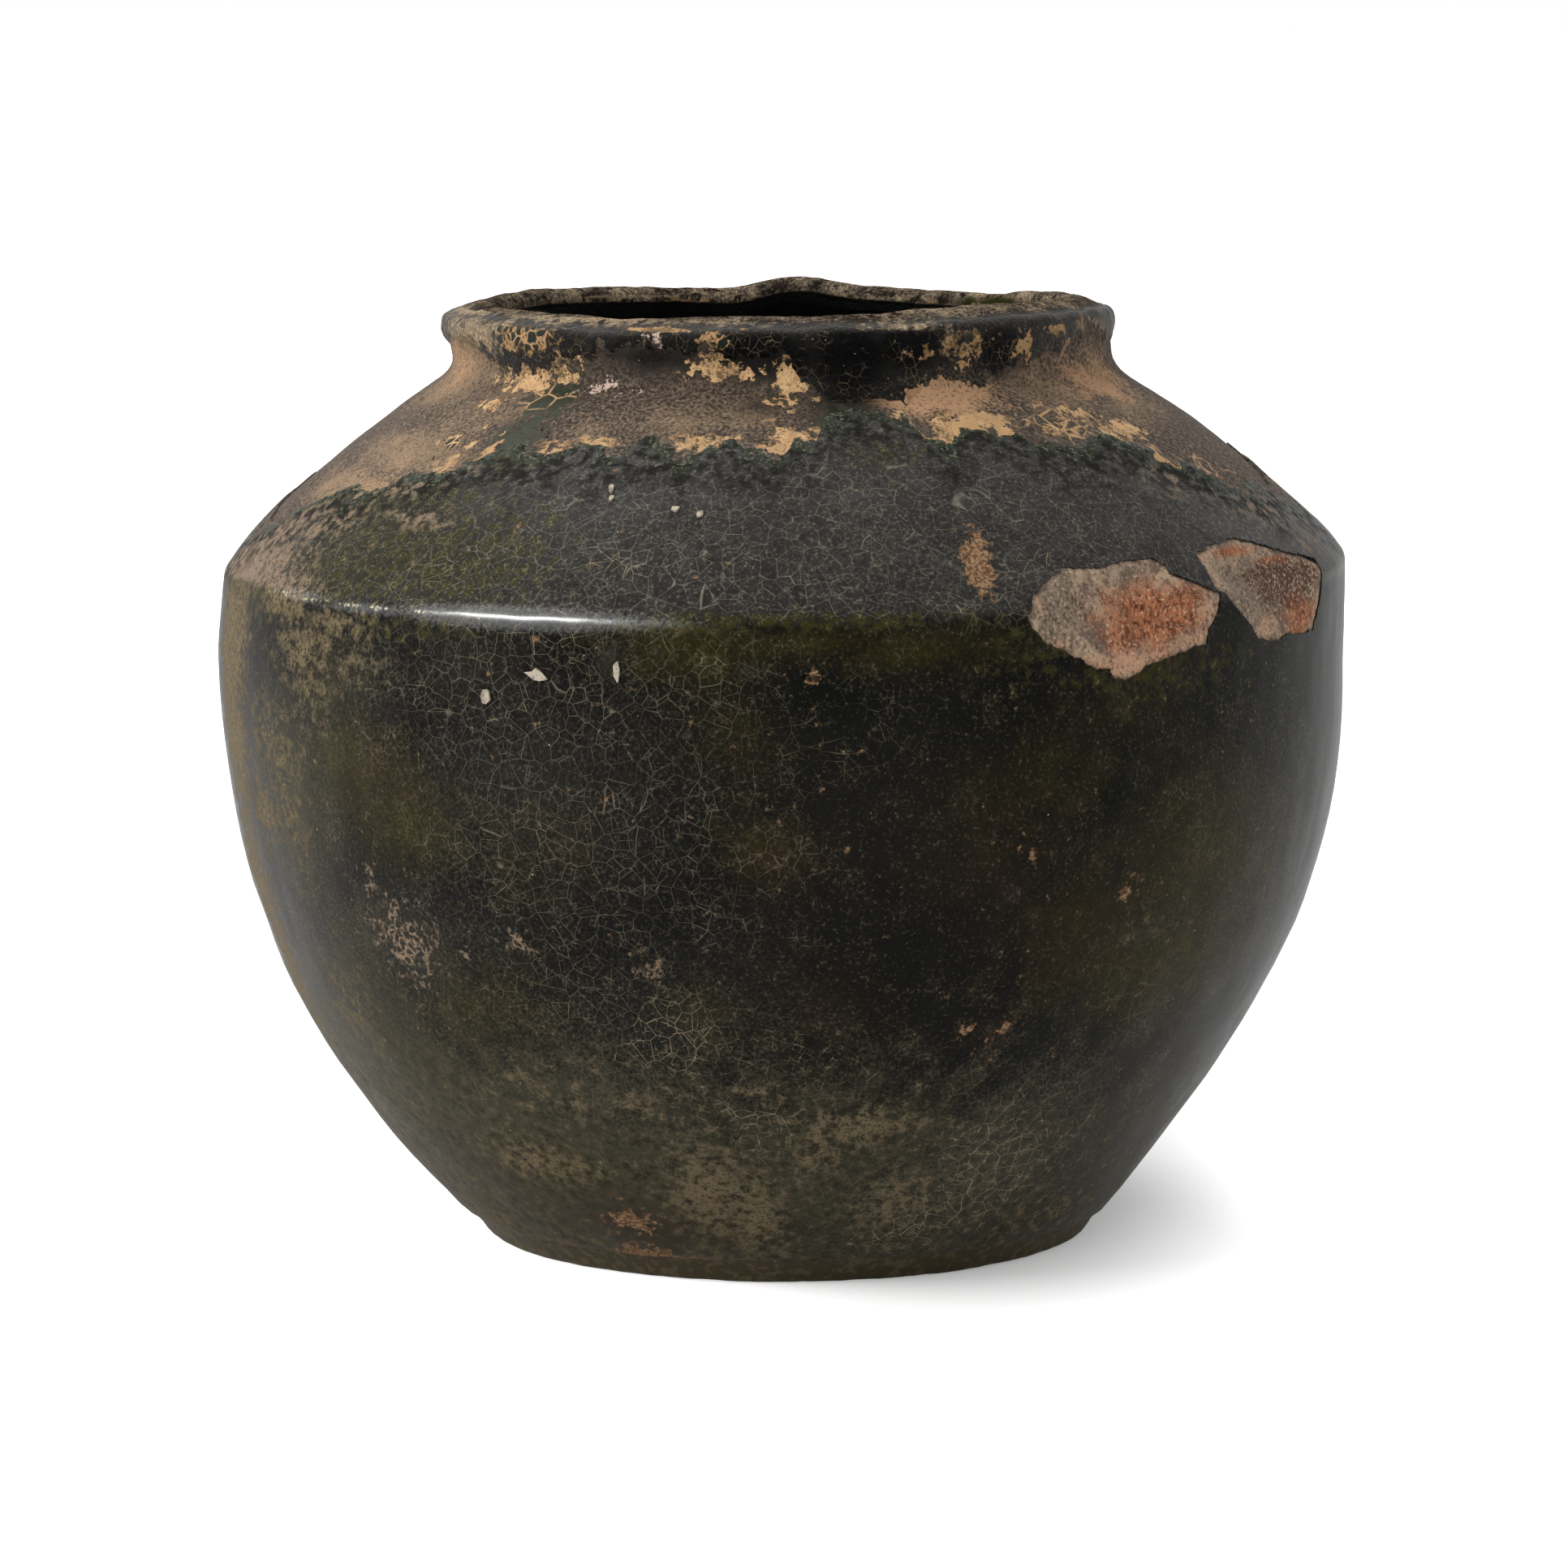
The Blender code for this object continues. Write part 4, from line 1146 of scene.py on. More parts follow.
WEB = (
    (-39.3, 250.7, 9, 7.4, 0.9), (9.4, 236.6, 12.1, 6.7, 1), (43, 243.1, 14.9, 9.4, 0.9),
    (-43.6, 228.9, 12.5, 7, 0.8), (60.2, 228.8, 18.7, 5.8, 0.8), (0.4, 245.6, 7.9, 7.2, 0.5),
    (-29.6, 231.3, 9.1, 4.8, 0.6),
)
RED = (
    (38.4, 193.3, 14.4, 9.7, 1.05), (41.7, 196.4, 10, 6.9, 0.9), (34.5, 185.6, 6.9, 5.3, 0.7),
    (63.2, 188.2, 9.8, 4.8, 1), (53.9, 208.4, 11, 1.9, 0.8), (60.7, 204.9, 9.3, 1.3, 0.6),
)
UMBER = (
    (61.1, 198.8, 16.2, 5.9, 1.3), (30.3, 198.3, 2.9, 5, 0.55), (27.7, 200.8, 3.4, 2.9, 0.5),
)
PLATE = (
    (27.6, 198.7, 11.4, 7.7, 0.8), (53.8, 198.4, 17.1, 7.9, 1), (26.7, 190.1, 5.8, 4.4, 0.5),
    (31.1, 192.8, 4.8, 6.6, 0.5),
)
PALE = (
    (34, 181.3, 17.3, 3.3, 1), (27.6, 187.6, 4.8, 3.5, 0.7), (42.8, 186.3, 8.4, 2.2, 0.8),
    (25.2, 199, 1.8, 5.6, 0.6), (54.3, 187, 6.5, 3.3, 0.8), (45.6, 194.6, 3.3, 3.3, 0.7),
)
LIP_TAN = (
    (-59.5, 267.9, 17.5, 5, 0.95), (-76.3, 272.3, 18.5, 4.8, 1.2), (-39.1, 272, 20.8, 3.1, 1),
    (-71.9, 263.4, 9.9, 8.8, 0.9), (-60.3, 269, 9.1, 5.4, 0.6), (22.5, 271, 13.3, 3, 0.7),
    (-37.3, 270.5, 16.8, 2.2, 0.6), (30.9, 265.2, 7.7, 6.2, 0.5), (66.3, 268.5, 11.4, 7.5, 0.6),
    (-8.1, 272.3, 12.9, 3.9, 0.7),
)
LIP_OCHRE = (
    (-58.9, 269.7, 3.2, 3.5, 0.8), (-46.4, 266.6, 11.6, 3.7, 1), (-21.2, 269.6, 8.4, 1.9, 1.05),
    (-10.6, 267.7, 3.4, 3.2, 0.9), (44.7, 265.4, 3.2, 5.1, 0.95), (52.2, 269, 5.4, 2.6, 0.9),
    (62.5, 270.7, 1.8, 2.6, 0.8), (31.8, 264.6, 4.8, 5.7, 0.85), (25, 262.5, 5.1, 2.9, 0.6),
    (63.8, 265.9, 4.3, 3.1, 0.6), (-6.4, 270.3, 1.2, 0.8, 0.6),
)
LIP_NET = (
    (-8, 271.9, 5.6, 1.5, 1), (0.3, 272.4, 6.4, 1.5, 0.8), (-39.6, 272.4, 11.8, 1.5, 0.6),
)
POLISH = (
    (-25.3, 195.3, 33.5, 2.7, 1), (-12.4, 195.2, 14.3, 1.8, 0.6), (-43.9, 194.9, 20.1, 1.6, 0.7),
    (-54.5, 196, 17.2, 1.8, 0.6),
)
LIP_ISLANDS = (
    (-47.7, 266.5, 13, 4.9, 1), (-57.6, 269.2, 8.5, 5.5, 0.9), (-9.5, 267, 3.7, 3.2, 0.8),
    (32.4, 266.3, 6.2, 3.9, 0.7),
)
LIP_MOSS = ((126, 270, 9, 6, 1.2), (118, 269, 6, 5, 1.0), (136, 270, 5, 5, 0.9))

# %% Paint dabs on a piece
SEEN = 62  # degrees: the back isn't in the photograph, so it wears the dabs of the front again, mirrored
UNTOUCHED = -1  # so low that no noise lifts it into sight


def keep(piece, name, value):
    """Stores one value for each point, for a finish to read."""
    stored = piece.data.attributes.new(name, "FLOAT", "POINT")
    stored.data.foreach_set("value", np.asarray(value, np.float32))


def paint(piece, below=math.inf, **tables):
    """Gives a piece one attribute for each table of dabs, which reach no higher than a given height."""
    azimuth, radius, height = turned_places(piece)
    up = up_the_wall(height)
    for name, dabs in tables.items():
        value = np.zeros(len(up))
        behind = [(180 - turn, *dab) for turn, *dab in dabs if abs(turn) < SEEN]
        for degrees, mm, wide, tall, strength in [*dabs, *behind]:
            across = (azimuth - math.radians(degrees) + math.pi) % math.tau - math.pi
            away = np.hypot(across * radius / wide, (up - up_the_wall(mm / 1000)) / tall) * 1000
            value = np.maximum(value, strength * np.clip(1 - away / 2, 0, 1))
        keep(piece, name, np.where(height < below, value, UNTOUCHED))


# %% [markdown]
# ## Building a finish in layers
#
# A worn glaze is many thin layers, so a finish is built like a painting. A skin holds the colour, roughness,
# shine and height that the surface has so far, and `cover` lays one more layer over it through a mask. All
# masks come from four sizes of noise, whose widths are measured in millimetres of the real pot, and from the
# painted attributes.

# %% Noises
GRAINS = {"broad": (45, 4), "middling": (10, 6), "torn": (3.2, 6), "fine": (1.0, 4)}  # width in mm, octaves
ROUGH = 0.62  # how strong the small octaves are


def new_finish(name):
    """An empty material, the place on the object that its patterns follow, and its noises."""
    material = bpy.data.materials.new(name)
    material.use_nodes = True
    tree = material.node_tree
    tree.nodes.clear()
    place = add(tree, "TexCoord").node.outputs["Object"]
    grains = {}
    for grain, (mm, octaves) in GRAINS.items():
        width = {"Vector": place, "Scale": 1000 / mm, "Detail": octaves, "Roughness": ROUGH}
        grains[grain] = add(tree, "TexNoise", width)
    grains["mixed"] = add(tree, "Mix", {0: 0.5, 2: grains["middling"], 3: grains["fine"]})
    return material, tree, place, grains


# %% Masks
def mask(tree, *parts):
    """Multiplies parts: numbers, sockets, or (socket, start, full), which eases in from start to full."""
    whole = None
    for part in parts:
        if isinstance(part, tuple):
            value, start, full = part
            ends = {"Value": value, "From Min": start, "From Max": full}
            part = add(tree, "MapRange", ends, interpolation_type="SMOOTHSTEP")
        whole = part if whole is None else add(tree, "Math", {0: whole, 1: part}, operation="MULTIPLY")
    return whole


def strayed(tree, value, *strays):
    """A value plus some noises, each times its own amount."""
    for grain, amount in strays:
        value = add(tree, "Math", {0: grain, 1: amount, 2: value}, operation="MULTIPLY_ADD")
    return value


def ragged(tree, value, grain, spread, soft=0.06):
    """Breaks up the soft rim of a value, which is a socket, a number or an attribute's name, with noise."""
    if isinstance(value, str):
        value = add(tree, "Attribute", attribute_name=value).node.outputs["Fac"]
    moved = add(tree, "Math", {0: grain, 1: spread, 2: -spread / 2}, operation="MULTIPLY_ADD")
    total = add(tree, "Math", {0: value, 1: moved}, operation="ADD")
    return mask(tree, (total, 0.5 - soft, 0.5 + soft))


# %% Layers
def cover(tree, skin, through, colour=None, roughness=None, shine=None, height=0):
    """Lays a layer over the skin: colour, roughness, shine, and how many millimetres it stands up."""
    if colour:
        colour = linear(colour) if isinstance(colour, str) else colour
        tint = add(tree, "Mix", {0: through, 6: skin["colour"], 7: colour}, data_type="RGBA")
        skin["colour"] = tint.node.outputs[2]
    for name, value in (("roughness", roughness), ("shine", shine)):
        if value is not None:
            skin[name] = add(tree, "Mix", {0: through, 2: skin[name], 3: value})
    if height:
        skin["height"] = strayed(tree, skin["height"], (through, height))


def finish(piece, material, tree, skin, **given):
    """Closes the layers with one shader and gives the piece its finish."""
    bump = add(tree, "Bump", {"Height": skin["height"], "Distance": 0.001})
    shader = add(tree, "BsdfPrincipled", {
        "Base Color": skin["colour"], "Roughness": skin["roughness"], "Specular IOR Level": skin["shine"],
        "Normal": bump, **given,
    })
    add(tree, "OutputMaterial", {"Surface": shader})
    piece.data.materials.clear()
    piece.data.materials.append(material)
    print(material.name, "on", piece.name, ":", len(tree.nodes), "nodes")


# %% Cracks and specks
def crackle(tree, place, cell_mm, width_mm, bend_mm):
    """The lines of a crazed glaze: 1 on a line and 0 beside it."""
    drift = add(tree, "TexNoise", {"Vector": place, "Scale": 1000 / (cell_mm * 1.5), "Detail": 1})
    drift = drift.node.outputs["Color"]
    centred = add(tree, "VectorMath", {0: drift, 1: (0.5, 0.5, 0.5)}, operation="SUBTRACT")
    bent = add(tree, "VectorMath", {0: centred, 1: (bend_mm / 1000,) * 3, 2: place}, operation="MULTIPLY_ADD")
    away = add(tree, "TexVoronoi", {"Vector": bent, "Scale": 1000 / cell_mm}, feature="DISTANCE_TO_EDGE")
    return mask(tree, (away, width_mm / cell_mm, width_mm / cell_mm * 0.3))


def specks(tree, place, cell_mm, size_mm, share):
    """Small spots, one in a share of the cells."""
    cells = add(tree, "TexVoronoi", {"Vector": place, "Scale": 1000 / cell_mm})
    picked = add(tree, "Math", {0: cells.node.outputs["Color"], 1: share}, operation="LESS_THAN")
    return mask(tree, (cells, size_mm / cell_mm, size_mm / cell_mm * 0.5), picked)


# %% [markdown]
# ## One look for all that is bare
#
# On the real pot the glaze doesn't end at a clean line. It is worn through to slip here and to clay there.
# So the look of the bare clay is written once, and the glazes use it too: near their edges noise decides
# where the glaze is gone, and what shows in the gap is the same sooty clay and ochre slip as beside it.

# %% The look of bare clay and slip
BARE = {
    "tan": TAN, "pink": PINK, "dark_glaze_and_painted_shade": DARK_GLAZE_AND_PAINTED_SHADE, "green": GREEN, "web": WEB, "slip": SLIP_PATCHES,
    "islands": ISLANDS, "crust": CRUST,
}
OCHRE = "b69269"
PALE_OCHRE = "d4ae80"


def crackle_gaps(tree, place):
    """The islands of glaze that are left between wide cracks, like the plates of a turtle's shell."""
    return mask(tree, (crackle(tree, place, 3.0, 0.5, 1.6), 0.8, 0.2))


def bare_clay(tree, place, grains):
    """Dull and porous: handling soot in its pores, tan dust, and scraps of slip that stand on it."""
    fine, mixed, torn = grains["fine"], grains["mixed"], grains["torn"]
    skin = {"colour": linear("5a4e42"), "roughness": 0.85, "shine": 0.2, "height": mask(tree, fine, 0.35)}
    cover(tree, skin, mask(tree, (fine, 0.54, 0.44)), "372f28", 0.85)
    cover(tree, skin, ragged(tree, "tan", mixed, 2.0, 0.4), "87715a", 0.9)
    cover(tree, skin, ragged(tree, "pink", mixed, 2.4, 0.3), "b38d6b", 0.9)
    cover(tree, skin, mask(tree, (fine, 0.56, 0.66), 0.35), "a8927a")
    cover(tree, skin, mask(tree, (fine, 0.46, 0.38), 0.5), "2a231d")
    # Dark patches: black glaze, and just under the lip partly painted shade
    cover(tree, skin, ragged(tree, "dark_glaze_and_painted_shade", mixed, 1.6, 0.35), "110e0c", 0.6, 0.1)
    cover(tree, skin, ragged(tree, "green", torn, 2.4, 0.2), "2b2f20", 0.4, 0.1)
    cover(tree, skin, specks(tree, place, 1.5, 0.26, 0.35), "241f1b")
    cover(tree, skin, specks(tree, place, 1.9, 0.24, 0.3), "a3906f")
    web = mask(tree, ragged(tree, "web", grains["middling"], 1.6, 0.15), crackle(tree, place, 6.5, 0.45, 3.0))
    cover(tree, skin, web, "b8936b")
    slip = ragged(tree, "slip", torn, 2.2, 0.04)
    island = mask(tree, slip, ragged(tree, "islands", torn, 0.9, 0.1), crackle_gaps(tree, place))
    cover(tree, skin, slip, OCHRE, 0.8, height=0.3)
    cover(tree, skin, mask(tree, slip, (mixed, 0.46, 0.56)), PALE_OCHRE)
    cover(tree, skin, mask(tree, slip, (mixed, 0.46, 0.42), 0.85), "5c4c34")
    cover(tree, skin, mask(tree, slip, (fine, 0.60, 0.66)), "54452f")
    cover(tree, skin, island, "161d18", 0.35, height=0.3)
    crust = mask(tree, ragged(tree, "crust", torn, 2.6, 0.06), (fine, 0.40, 0.50))
    cover(tree, skin, crust, "cbb1a0", 0.8, height=0.6)
    return skin


def wear_through(tree, skin, under, through, depth):
    """Opens the skin to what lies under it, so many millimetres deep."""
    cover(tree, skin, through, under["colour"], under["roughness"], under["shine"], -depth)


# %% [markdown]
# ## The outer glaze
#
# Lead glaze coloured with iron is black-green where it is thick, and olive or brown where it ran thin. It was
# made by dipping, so it lies in soft waves, and it crazed as it cooled. The eye takes it for a dark liquid
# skin under dust: its own mirror is weak, with a dull film over all of it but the rubbed shoulder edge.

# %% Where the mouth turns black
BLACK_FROM, BLACK_FADE = 2.8, 2  # mm below the crest, and mm over which it fades in

top = max(range(len(lip)), key=lambda place: lip[place].y)
mouth = np.array([tuple(point) for point in reversed([*lip[top + LIP_STEPS:], *inner_neck])])


def mouth_black(piece):
    """1 on the inner side of the mouth from 5 mm below the crest, fading out 2 mm higher, and 0 outside."""
    azimuth, out, height = turned_places(piece)
    inside_of = (out < np.interp(height, mouth[:, 1], mouth[:, 0]) + WALL / 2) & (height > mouth[0, 1] - WALL)
    return eased(((crest_height(azimuth) - height) * 1000 - BLACK_FROM) / BLACK_FADE) * inside_of


# %% Attributes of the outer glaze
azimuth, out, height = turned_places(coat)
# Painted top light: the shoulder is made paler and greyer than the belly below it
SHOULDER_PAINTED_LIGHT = (0.1945, 0.004, 0.75)  # the height where it starts, how fast it grows, and its strength
LOW_OLIVE_AND_PAINTED_LIGHT = (0.115, 0.090, 0.80, 0.32)  # the same for the olive tone and painted floor light below, and how much stronger it is at the left, partly a painted sheen

keep(coat, "from_edge", (glaze_end(azimuth) - np.interp(height, heights, lengths)) * 1000)
start, growth, strength = SHOULDER_PAINTED_LIGHT
keep(coat, "shoulder", eased((height - start) / growth) * strength)
start, growth, strength, leftwards = LOW_OLIVE_AND_PAINTED_LIGHT
keep(coat, "low", eased((start - height) / growth) * (strength - leftwards * np.sin(azimuth)))
paint(
    coat, soil=SOIL, olive=OLIVE, brown=BROWN, moss=MOSS, haze=HAZE, craze=CRAZE, net=NET, lace=LACE,
    rust=RUST, polish=POLISH, chips=EDGE_DASHES, **BARE,
)

# %% Colour under the surface, with painted light on the shoulder and the lower belly
material, tree, place, grains = new_finish("crazed_black_green_lead_glaze")
broad, middling, torn, fine, mixed = (grains[name] for name in ("broad", "middling", "torn", "fine", "mixed"))
tone = add(tree, "ValToRGB", {"Fac": broad})
for element, (at, colour) in zip(tone.node.color_ramp.elements, ((0.35, "060605"), (0.65, "12110c"))):
    element.position, element.color = at, linear(colour)
waves = add(tree, "TexNoise", {"Vector": place, "Scale": 1000 / 22, "Detail": 2})
skin = {"colour": tone, "roughness": 0.38, "shine": 0.035, "height": mask(tree, waves, 0.25)}
# The lower belly is made paler: its own olive-grey tone and painted light from the floor, with a painted
# sheen that is stronger at the left
low = ragged(tree, "low", mixed, 2.2, 0.35)
cover(tree, skin, low, "403c2e", 0.60, 0.03)
cover(tree, skin, mask(tree, low, (torn, 0.46, 0.36), 0.7), "1b1a11")
cover(tree, skin, mask(tree, low, (torn, 0.54, 0.66), 0.6), "625947")
olive = ragged(tree, "olive", mixed, 1.8, 0.4)
cover(tree, skin, olive, "312b0e", 0.36)
cover(tree, skin, mask(tree, olive, (torn, 0.50, 0.42), 0.6), "141309")
cover(tree, skin, mask(tree, ragged(tree, "brown", mixed, 1.8, 0.5), 0.8), "2a1e10", 0.36)
# Painted top light: the shoulder is made paler and greyer than the belly, with darker mottling and pale
# flecks in it, and the moss gets pale flecks on the shoulder alone
shoulder = ragged(tree, "shoulder", mixed, 2.2, 0.5)
cover(tree, skin, shoulder, "312f2c", 0.38, 0.06)
cover(tree, skin, mask(tree, shoulder, (torn, 0.49, 0.38), 0.75), "1b1a18")
cover(tree, skin, mask(tree, shoulder, (fine, 0.56, 0.66), 0.5), "6b665d")
moss = ragged(tree, "moss", torn, 2.2, 0.25)
cover(tree, skin, moss, "27241a", 0.55)
cover(tree, skin, mask(tree, moss, (torn, 0.47, 0.55)), "302e12", 0.55)
cover(tree, skin, mask(tree, moss, shoulder, (fine, 0.54, 0.64), 0.3), "857c68", 0.55)

# %% Dust, crazing and soil on the surface
cover(tree, skin, mask(tree, ragged(tree, "haze", fine, 2.2, 0.5), 0.07), "8a857a", 0.45)
cover(tree, skin, mask(tree, (fine, 0.58, 0.70), 0.11), "8a826e", 0.5)
large, small = crackle(tree, place, 5.6, 0.085, 1.0), crackle(tree, place, 3.4, 0.065, 0.7)
small = mask(tree, small, (torn, 0.44, 0.58))
lines = add(tree, "Math", {0: large, 1: small}, operation="MAXIMUM")
cover(tree, skin, mask(tree, lines, shoulder, 0.34), "8f8a80", 0.6)
cover(tree, skin, mask(tree, lines, ragged(tree, "craze", middling, 1.6, 0.4), 0.42), "8c836d", 0.6)
cover(tree, skin, mask(tree, lines, ragged(tree, "net", torn, 2.0, 0.3), 0.75), "ab9a7e", 0.7)
threads = crackle(tree, place, 2.6, 0.55, 3.4)
lace = mask(tree, ragged(tree, "lace", torn, 2.2, 0.2), (threads, 0.1, 0.8), (fine, 0.38, 0.50))
cover(tree, skin, lace, "85735f", 0.85, height=0.05)
rust = ragged(tree, "rust", torn, 2.4, 0.15)
cover(tree, skin, rust, "664833", 0.8)
cover(tree, skin, mask(tree, rust, (fine, 0.44, 0.56)), "977c5e", 0.8)
thick = add(tree, "Attribute", attribute_name="soil").node.outputs["Fac"]
soil = mask(tree, ragged(tree, "soil", torn, 2.4, 0.25), (fine, 0.32, 0.56), (thick, -0.1, 0.75))
cover(tree, skin, soil, "746750", 0.9)
# Soil is made paler where it lies on the shoulder: painted top light
cover(tree, skin, mask(tree, soil, ragged(tree, "shoulder", torn, 1.0, 0.3)), "877363")
# Pale cream dashes along the shoulder edge
cover(tree, skin, mask(tree, ragged(tree, "chips", torn, 1.6, 0.1), (fine, 0.50, 0.56)), "bfb391", 0.7)
cover(tree, skin, specks(tree, place, 3.1, 0.22, 0.25), "7d7250", 0.7)
cover(tree, skin, specks(tree, place, 7.0, 0.32, 0.25), "a59b84", 0.7)
cover(tree, skin, ragged(tree, "polish", fine, 0.8, 0.3), None, 0.24, 0.95)

# %% The worn edge of the glaze
reach = add(tree, "Attribute", attribute_name="from_edge").node.outputs["Fac"]
drift = strayed(tree, reach, (middling, 28.0), (torn, 10.0), (fine, 4.0))  # about 21 at the measured edge
bays = add(tree, "TexNoise", {"Vector": place, "Scale": 1000 / 16, "Detail": 3})
patches = add(tree, "Attribute", attribute_name="slip").node.outputs["Fac"]
spread = strayed(tree, 16.0, (bays, -26.0), (patches, -5.0))
spread = add(tree, "Math", {0: spread, 1: 0.0}, operation="MINIMUM")
slipped = add(tree, "Math", {0: drift, 1: spread}, operation="ADD")  # lower where the slip border is wide
cover(tree, skin, mask(tree, (slipped, 50.0, 30.0), (torn, 0.60, 0.44), 0.85), "1d1c19", 0.55, 0.0)
cover(tree, skin, mask(tree, (slipped, 32.5, 28.5), (torn, 0.40, 0.50)), "262b20", 0.45)
cover(tree, skin, mask(tree, (slipped, 30.5, 27.5), (fine, 0.54, 0.60), 0.7), "6f735f", 0.45)
cover(tree, skin, mask(tree, (slipped, 25.1, 24.7)), OCHRE, 0.8, height=-0.1)
wear_through(tree, skin, bare_clay(tree, place, grains), mask(tree, (drift, 25.1, 24.8)), 0.3)
finish(coat, material, tree, skin, IOR=1.6)

# %% [markdown]
# ## The bare clay and the broken clay
#
# Common red earthenware, thrown and fired, is sooty on the outside. Broken, it shows its grain: rust red
# inside, with grey plates where the fire didn't reach and a pale rim where the glaze soaked in. The scars
# are told from the skin by one attribute.

# %% The clay's finish
material, tree, place, grains = new_finish("sooty_red_earthenware")
paint(clay, red=RED, plate=PLATE, pale=PALE, umber=UMBER, **BARE)
azimuth, out, height = turned_places(clay)
BROKEN_RIM_WIDTH = 0.0014  # the scar's look reaches this far past its outline
BARE_UP_TO, BARE_FADE = 0.014, 0.004  # the height of the dark foot, and how fast it fades

keep(clay, "broken", (from_spalls(clay) > -BROKEN_RIM_WIDTH) & (out > EDGE_RADIUS - 2 * WALL))
keep(clay, "inner", mouth_black(clay))
keep(clay, "foot", eased((BARE_UP_TO - height) / BARE_FADE))
skin = bare_clay(tree, place, grains)
middling, torn, fine, mixed = (grains[name] for name in ("middling", "torn", "fine", "mixed"))
sooty = ragged(tree, "foot", torn, 1.0, 0.3)
cover(tree, skin, sooty, "443d2c", 0.6, 0.05)
cover(tree, skin, mask(tree, sooty, (torn, 0.5, 0.6), 0.6), "675a45")
cover(tree, skin, ragged(tree, "inner", torn, 0.8, 0.2), "050504", 0.3, 0.03)
fibres = add(tree, "Mapping", {"Vector": place, "Rotation": (0.3, 0.9, 0.5), "Scale": (1, 1, 0.45)})
grit = add(tree, "TexNoise", {"Vector": fibres, "Scale": 1000 / 1.1, "Detail": 5, "Roughness": 0.75})
grain = add(tree, "Mix", {0: 0.45, 2: grit, 3: torn})
folds = add(tree, "TexNoise", {"Vector": fibres, "Scale": 1000 / 8, "Detail": 3, "Distortion": 1.2})
rough = strayed(tree, mask(tree, grain, 2.2), (folds, 5.0))
scar = {"colour": linear("a48e79"), "roughness": 0.95, "shine": 0.2, "height": rough}
cover(tree, scar, mask(tree, (grain, 0.54, 0.40), 0.8), "5d4f44")
cover(tree, scar, mask(tree, (middling, 0.54, 0.66), 0.8), "6f6359")
# Painted shade in the hollows of the folds and painted light on their ridges, from the same noise that raises
# them
cover(tree, scar, mask(tree, (folds, 0.50, 0.40), 0.7), "5f534a")
cover(tree, scar, mask(tree, (folds, 0.54, 0.64), 0.6), "c2a78b")
plate = ragged(tree, "plate", middling, 1.0, 0.2)
cover(tree, scar, plate, "897868")
cover(tree, scar, mask(tree, plate, (fine, 0.5, 0.38)), "5f554b")
rusty = ragged(tree, "red", mixed, 2.2, 0.25)
cover(tree, scar, rusty, "b67652")
cover(tree, scar, mask(tree, rusty, (grain, 0.52, 0.43)), "623525")
# Painted shade in the fold hollows of the red parts
cover(tree, scar, mask(tree, rusty, (folds, 0.49, 0.38), 0.3), "4f2a1e")
cover(tree, scar, mask(tree, rusty, (fine, 0.58, 0.70)), "d9a687")
cover(tree, scar, mask(tree, ragged(tree, "umber", torn, 2.0, 0.2), (fine, 0.60, 0.46)), "573a2f")
cover(tree, scar, ragged(tree, "pale", mixed, 2.4, 0.3), "c0977a")
cover(tree, scar, mask(tree, (fine, 0.45, 0.38), 0.7), "5d4638")
cover(tree, scar, mask(tree, (fine, 0.58, 0.66), 0.7), "cdb89f")
wear_through(tree, skin, scar, add(tree, "Attribute", attribute_name="broken").node.outputs["Fac"], 0)
finish(clay, material, tree, skin)

# %% [markdown]
# ## The slip border
#
# Slip is clay let down with water and brushed on. It is matt and chalky, and where soot has filled it, it
# can't be told from the clay. So most of the strip looks bare, and torn patches of it are bright ochre.

# %% The slip's finish
material, tree, place, grains = new_finish("worn_buff_slip")
paint(slip_coat, **BARE)
skin = bare_clay(tree, place, grains)
patches = add(tree, "Attribute", attribute_name="slip").node.outputs["Fac"]
torn_patches = mask(tree, ragged(tree, grains["middling"], grains["torn"], 1.2), (patches, 0.1, 0.4))
cover(tree, skin, torn_patches, OCHRE, height=0.3)
finish(slip_coat, material, tree, skin)

# %% [markdown]
# ## The glaze of the lip
#
# On the lip the glaze is charcoal, fired dry by the flame and rubbed by lids and hands. It is worn to tan
# along its crest, crackled in thin tan lines, and broken to ochre slip at its lower end.

# %% The lip's finish
material, tree, place, grains = new_finish("worn_charcoal_lip_glaze")
middling, torn, fine, mixed = (grains[name] for name in ("middling", "torn", "fine", "mixed"))
paint(lip_coat, whole_line[rising - 1, 1], worn=LIP_TAN, ochre=LIP_OCHRE, holed=LIP_ISLANDS, net=LIP_NET)
paint(lip_coat, mossy=LIP_MOSS, **BARE)  # above the outline's own top, the wavy crest has only its own layers
turn, out, height = turned_places(lip_coat)
CREST_IN, CREST_FADE = 0.0035, 0.004  # how far in from the lip's radius its crest starts, and grows
CORNER_DROP = 2.9  # the outer corner's depth below the crest in mm
FAR_IN = 20  # mm: the top and inside of the lip lie well inside the glaze's lower edge

left = (lip_corner - lip_end(turn)) * 1000 - (crest_height(turn) - height) * 1000 + CORNER_DROP
keep(lip_coat, "crest", eased((LIP_RADIUS - CREST_IN - out) / CREST_FADE))
keep(lip_coat, "inner", mouth_black(lip_coat))
keep(lip_coat, "from_edge", np.where(out > LIP_RADIUS - 0.004, left, FAR_IN))
lumps = add(tree, "Math", {0: middling, 1: fine}, operation="ADD")
skin = {"colour": linear("0f0e0c"), "roughness": 0.36, "shine": 0.08, "height": lumps}
cover(tree, skin, ragged(tree, 0.36, mixed, 3.0, 0.3), "2c2721", 0.6)
cover(tree, skin, mask(tree, (fine, 0.56, 0.64), 0.4), "6b604f", 0.7)
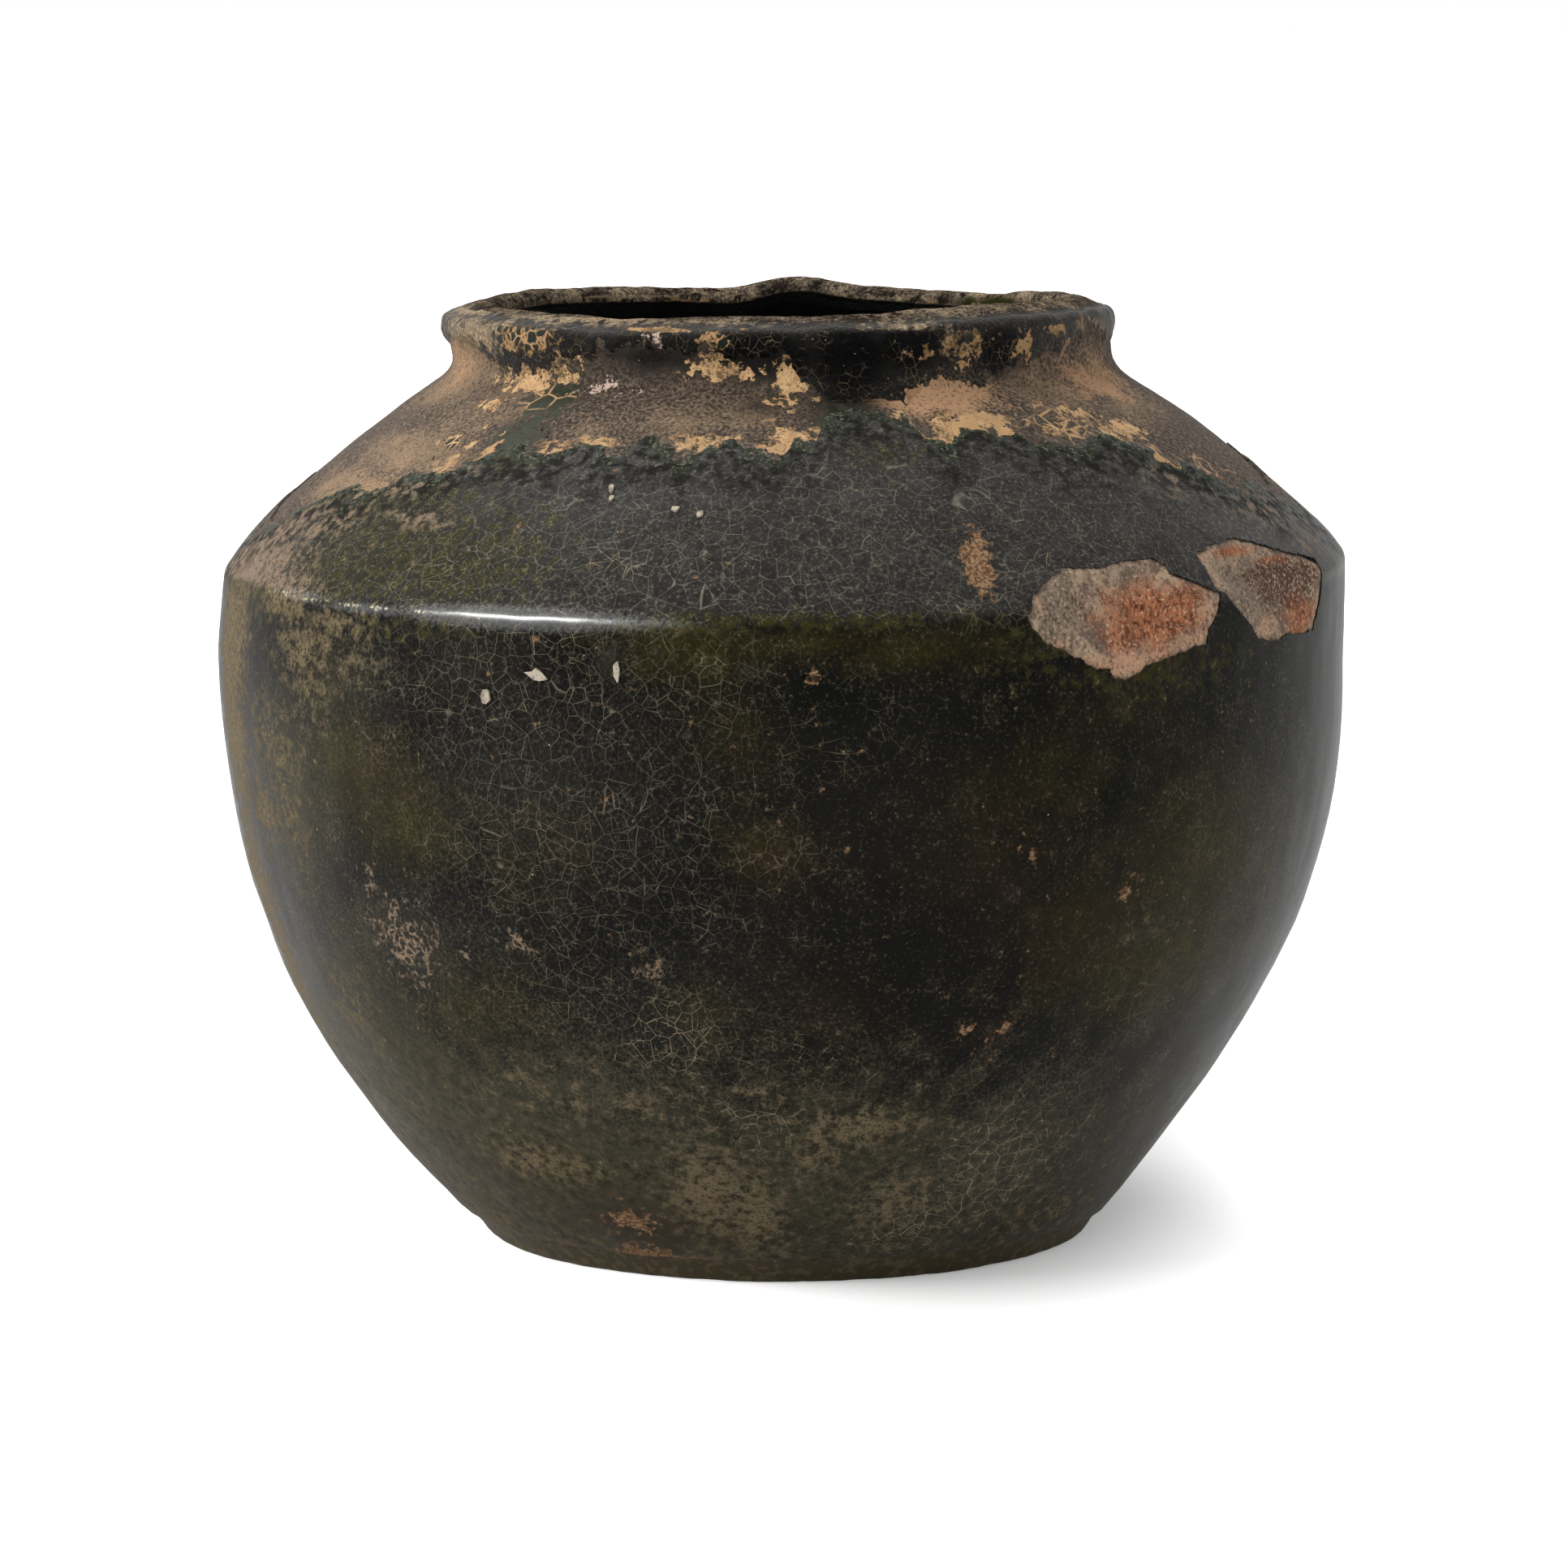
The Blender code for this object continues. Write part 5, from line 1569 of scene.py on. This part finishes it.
# Dark patches: black glaze, and just under the lip partly painted shade
cover(tree, skin, ragged(tree, "dark_glaze_and_painted_shade", mixed, 1.6, 0.3), "080707", 0.5, 0.03)
hair = crackle(tree, place, 2.8, 0.12, 1.0)
cover(tree, skin, mask(tree, hair, (middling, 0.45, 0.62), 0.35), "8f8066", 0.7)
cover(tree, skin, mask(tree, hair, ragged(tree, "net", torn, 2.0, 0.3)), "b79e78", 0.7, height=0.1)
crest = add(tree, "Attribute", attribute_name="crest").node.outputs["Fac"]
cover(tree, skin, crest, "2e2822", 0.8, 0.0)
cover(tree, skin, ragged(tree, mask(tree, crest, 0.64), mixed, 3.4, 0.15), "62574a", 0.75)
cover(tree, skin, mask(tree, crest, (mixed, 0.52, 0.58), 0.6), "b39f82", 0.8)
cover(tree, skin, mask(tree, crest, (torn, 0.46, 0.38)), "26211c", 0.6)
cover(tree, skin, mask(tree, crest, (mixed, 0.47, 0.43), 0.6), "2c2620", 0.6)
worn = ragged(tree, "worn", torn, 2.2, 0.25)
cover(tree, skin, worn, "84745f", 0.8)
cover(tree, skin, mask(tree, worn, (fine, 0.50, 0.60)), "b7a283", 0.8)
cover(tree, skin, specks(tree, place, 2.4, 0.3, 0.3), "8a7a5e", 0.85)
cover(tree, skin, ragged(tree, "mossy", fine, 1.6, 0.3), "2c2e16", 0.7)
ochre = ragged(tree, "ochre", torn, 2.4, 0.05)
cover(tree, skin, ochre, OCHRE, 0.85, height=0.2)
cover(tree, skin, mask(tree, ochre, (middling, 0.54, 0.44), 0.75), "6e5a3c", 0.85)
cover(tree, skin, mask(tree, ochre, (fine, 0.46, 0.40), 0.7), "3c3122", 0.85)
island = mask(tree, ochre, ragged(tree, "holed", torn, 0.9, 0.1), crackle_gaps(tree, place))
cover(tree, skin, island, "1b231d", 0.35, height=0.3)
reach = add(tree, "Attribute", attribute_name="from_edge").node.outputs["Fac"]
drift = strayed(tree, reach, (middling, 22.0), (torn, 8.0))
wear_through(tree, skin, bare_clay(tree, place, grains), mask(tree, (drift, 17.5, 17.0)), 0.3)
cover(tree, skin, ragged(tree, "inner", torn, 0.8, 0.2), "050504", 0.3, 0.03)
finish(lip_coat, material, tree, skin, IOR=1.6)

# %% [markdown]
# ## The glaze inside
#
# Inside, nothing has rubbed the glaze, so it is as it was poured: black, wet-looking and a little wavy.

# %% The inside's finish
material, tree, place, grains = new_finish("glossy_black_lead_glaze")
waves = add(tree, "TexNoise", {"Vector": place, "Scale": 1000 / 18, "Detail": 2})
skin = {"colour": linear("050504"), "roughness": 0.25, "shine": 0.03, "height": mask(tree, waves, 0.4)}
cover(tree, skin, mask(tree, (grains["broad"], 0.56, 0.70)), "1f1a15", 0.5)
cover(tree, skin, mask(tree, (grains["torn"], 0.58, 0.75)), "14120f", 0.4)
finish(inside_coat, material, tree, skin, IOR=1.6)

# %% [markdown]
# ## The stuck flakes
#
# A few flakes of lime mortar cling to the jar from wherever it stood. They are chalky, off-white and matt.

# %% The flakes' finish
material, tree, place, grains = new_finish("chalky_lime_flakes")
skin = {"colour": linear("b5ab98"), "roughness": 0.9, "shine": 0.2, "height": mask(tree, grains["fine"], 0.3)}
cover(tree, skin, mask(tree, (grains["torn"], 0.5, 0.4)), "8c8272")
cover(tree, skin, mask(tree, (grains["fine"], 0.45, 0.35)), "6d6355")
finish(flakes, material, tree, skin)

# %% Take the places of the plain solids
pieces = {
    "earthenware": clay, "outer_glaze": coat, "buff_slip": slip_coat, "lip_glaze": lip_coat,
    "inner_glaze": inside_coat,
}
for slot, piece in pieces.items():
    finish_mesh(piece)
    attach(piece, "root")
finish_mesh(flakes)
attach(flakes, "root")
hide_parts("base_disc", "lower_wall", "shoulder", "collar")
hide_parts("outer_glaze")
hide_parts("slip_band")
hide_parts("lip_glaze")
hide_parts("inner_glaze")
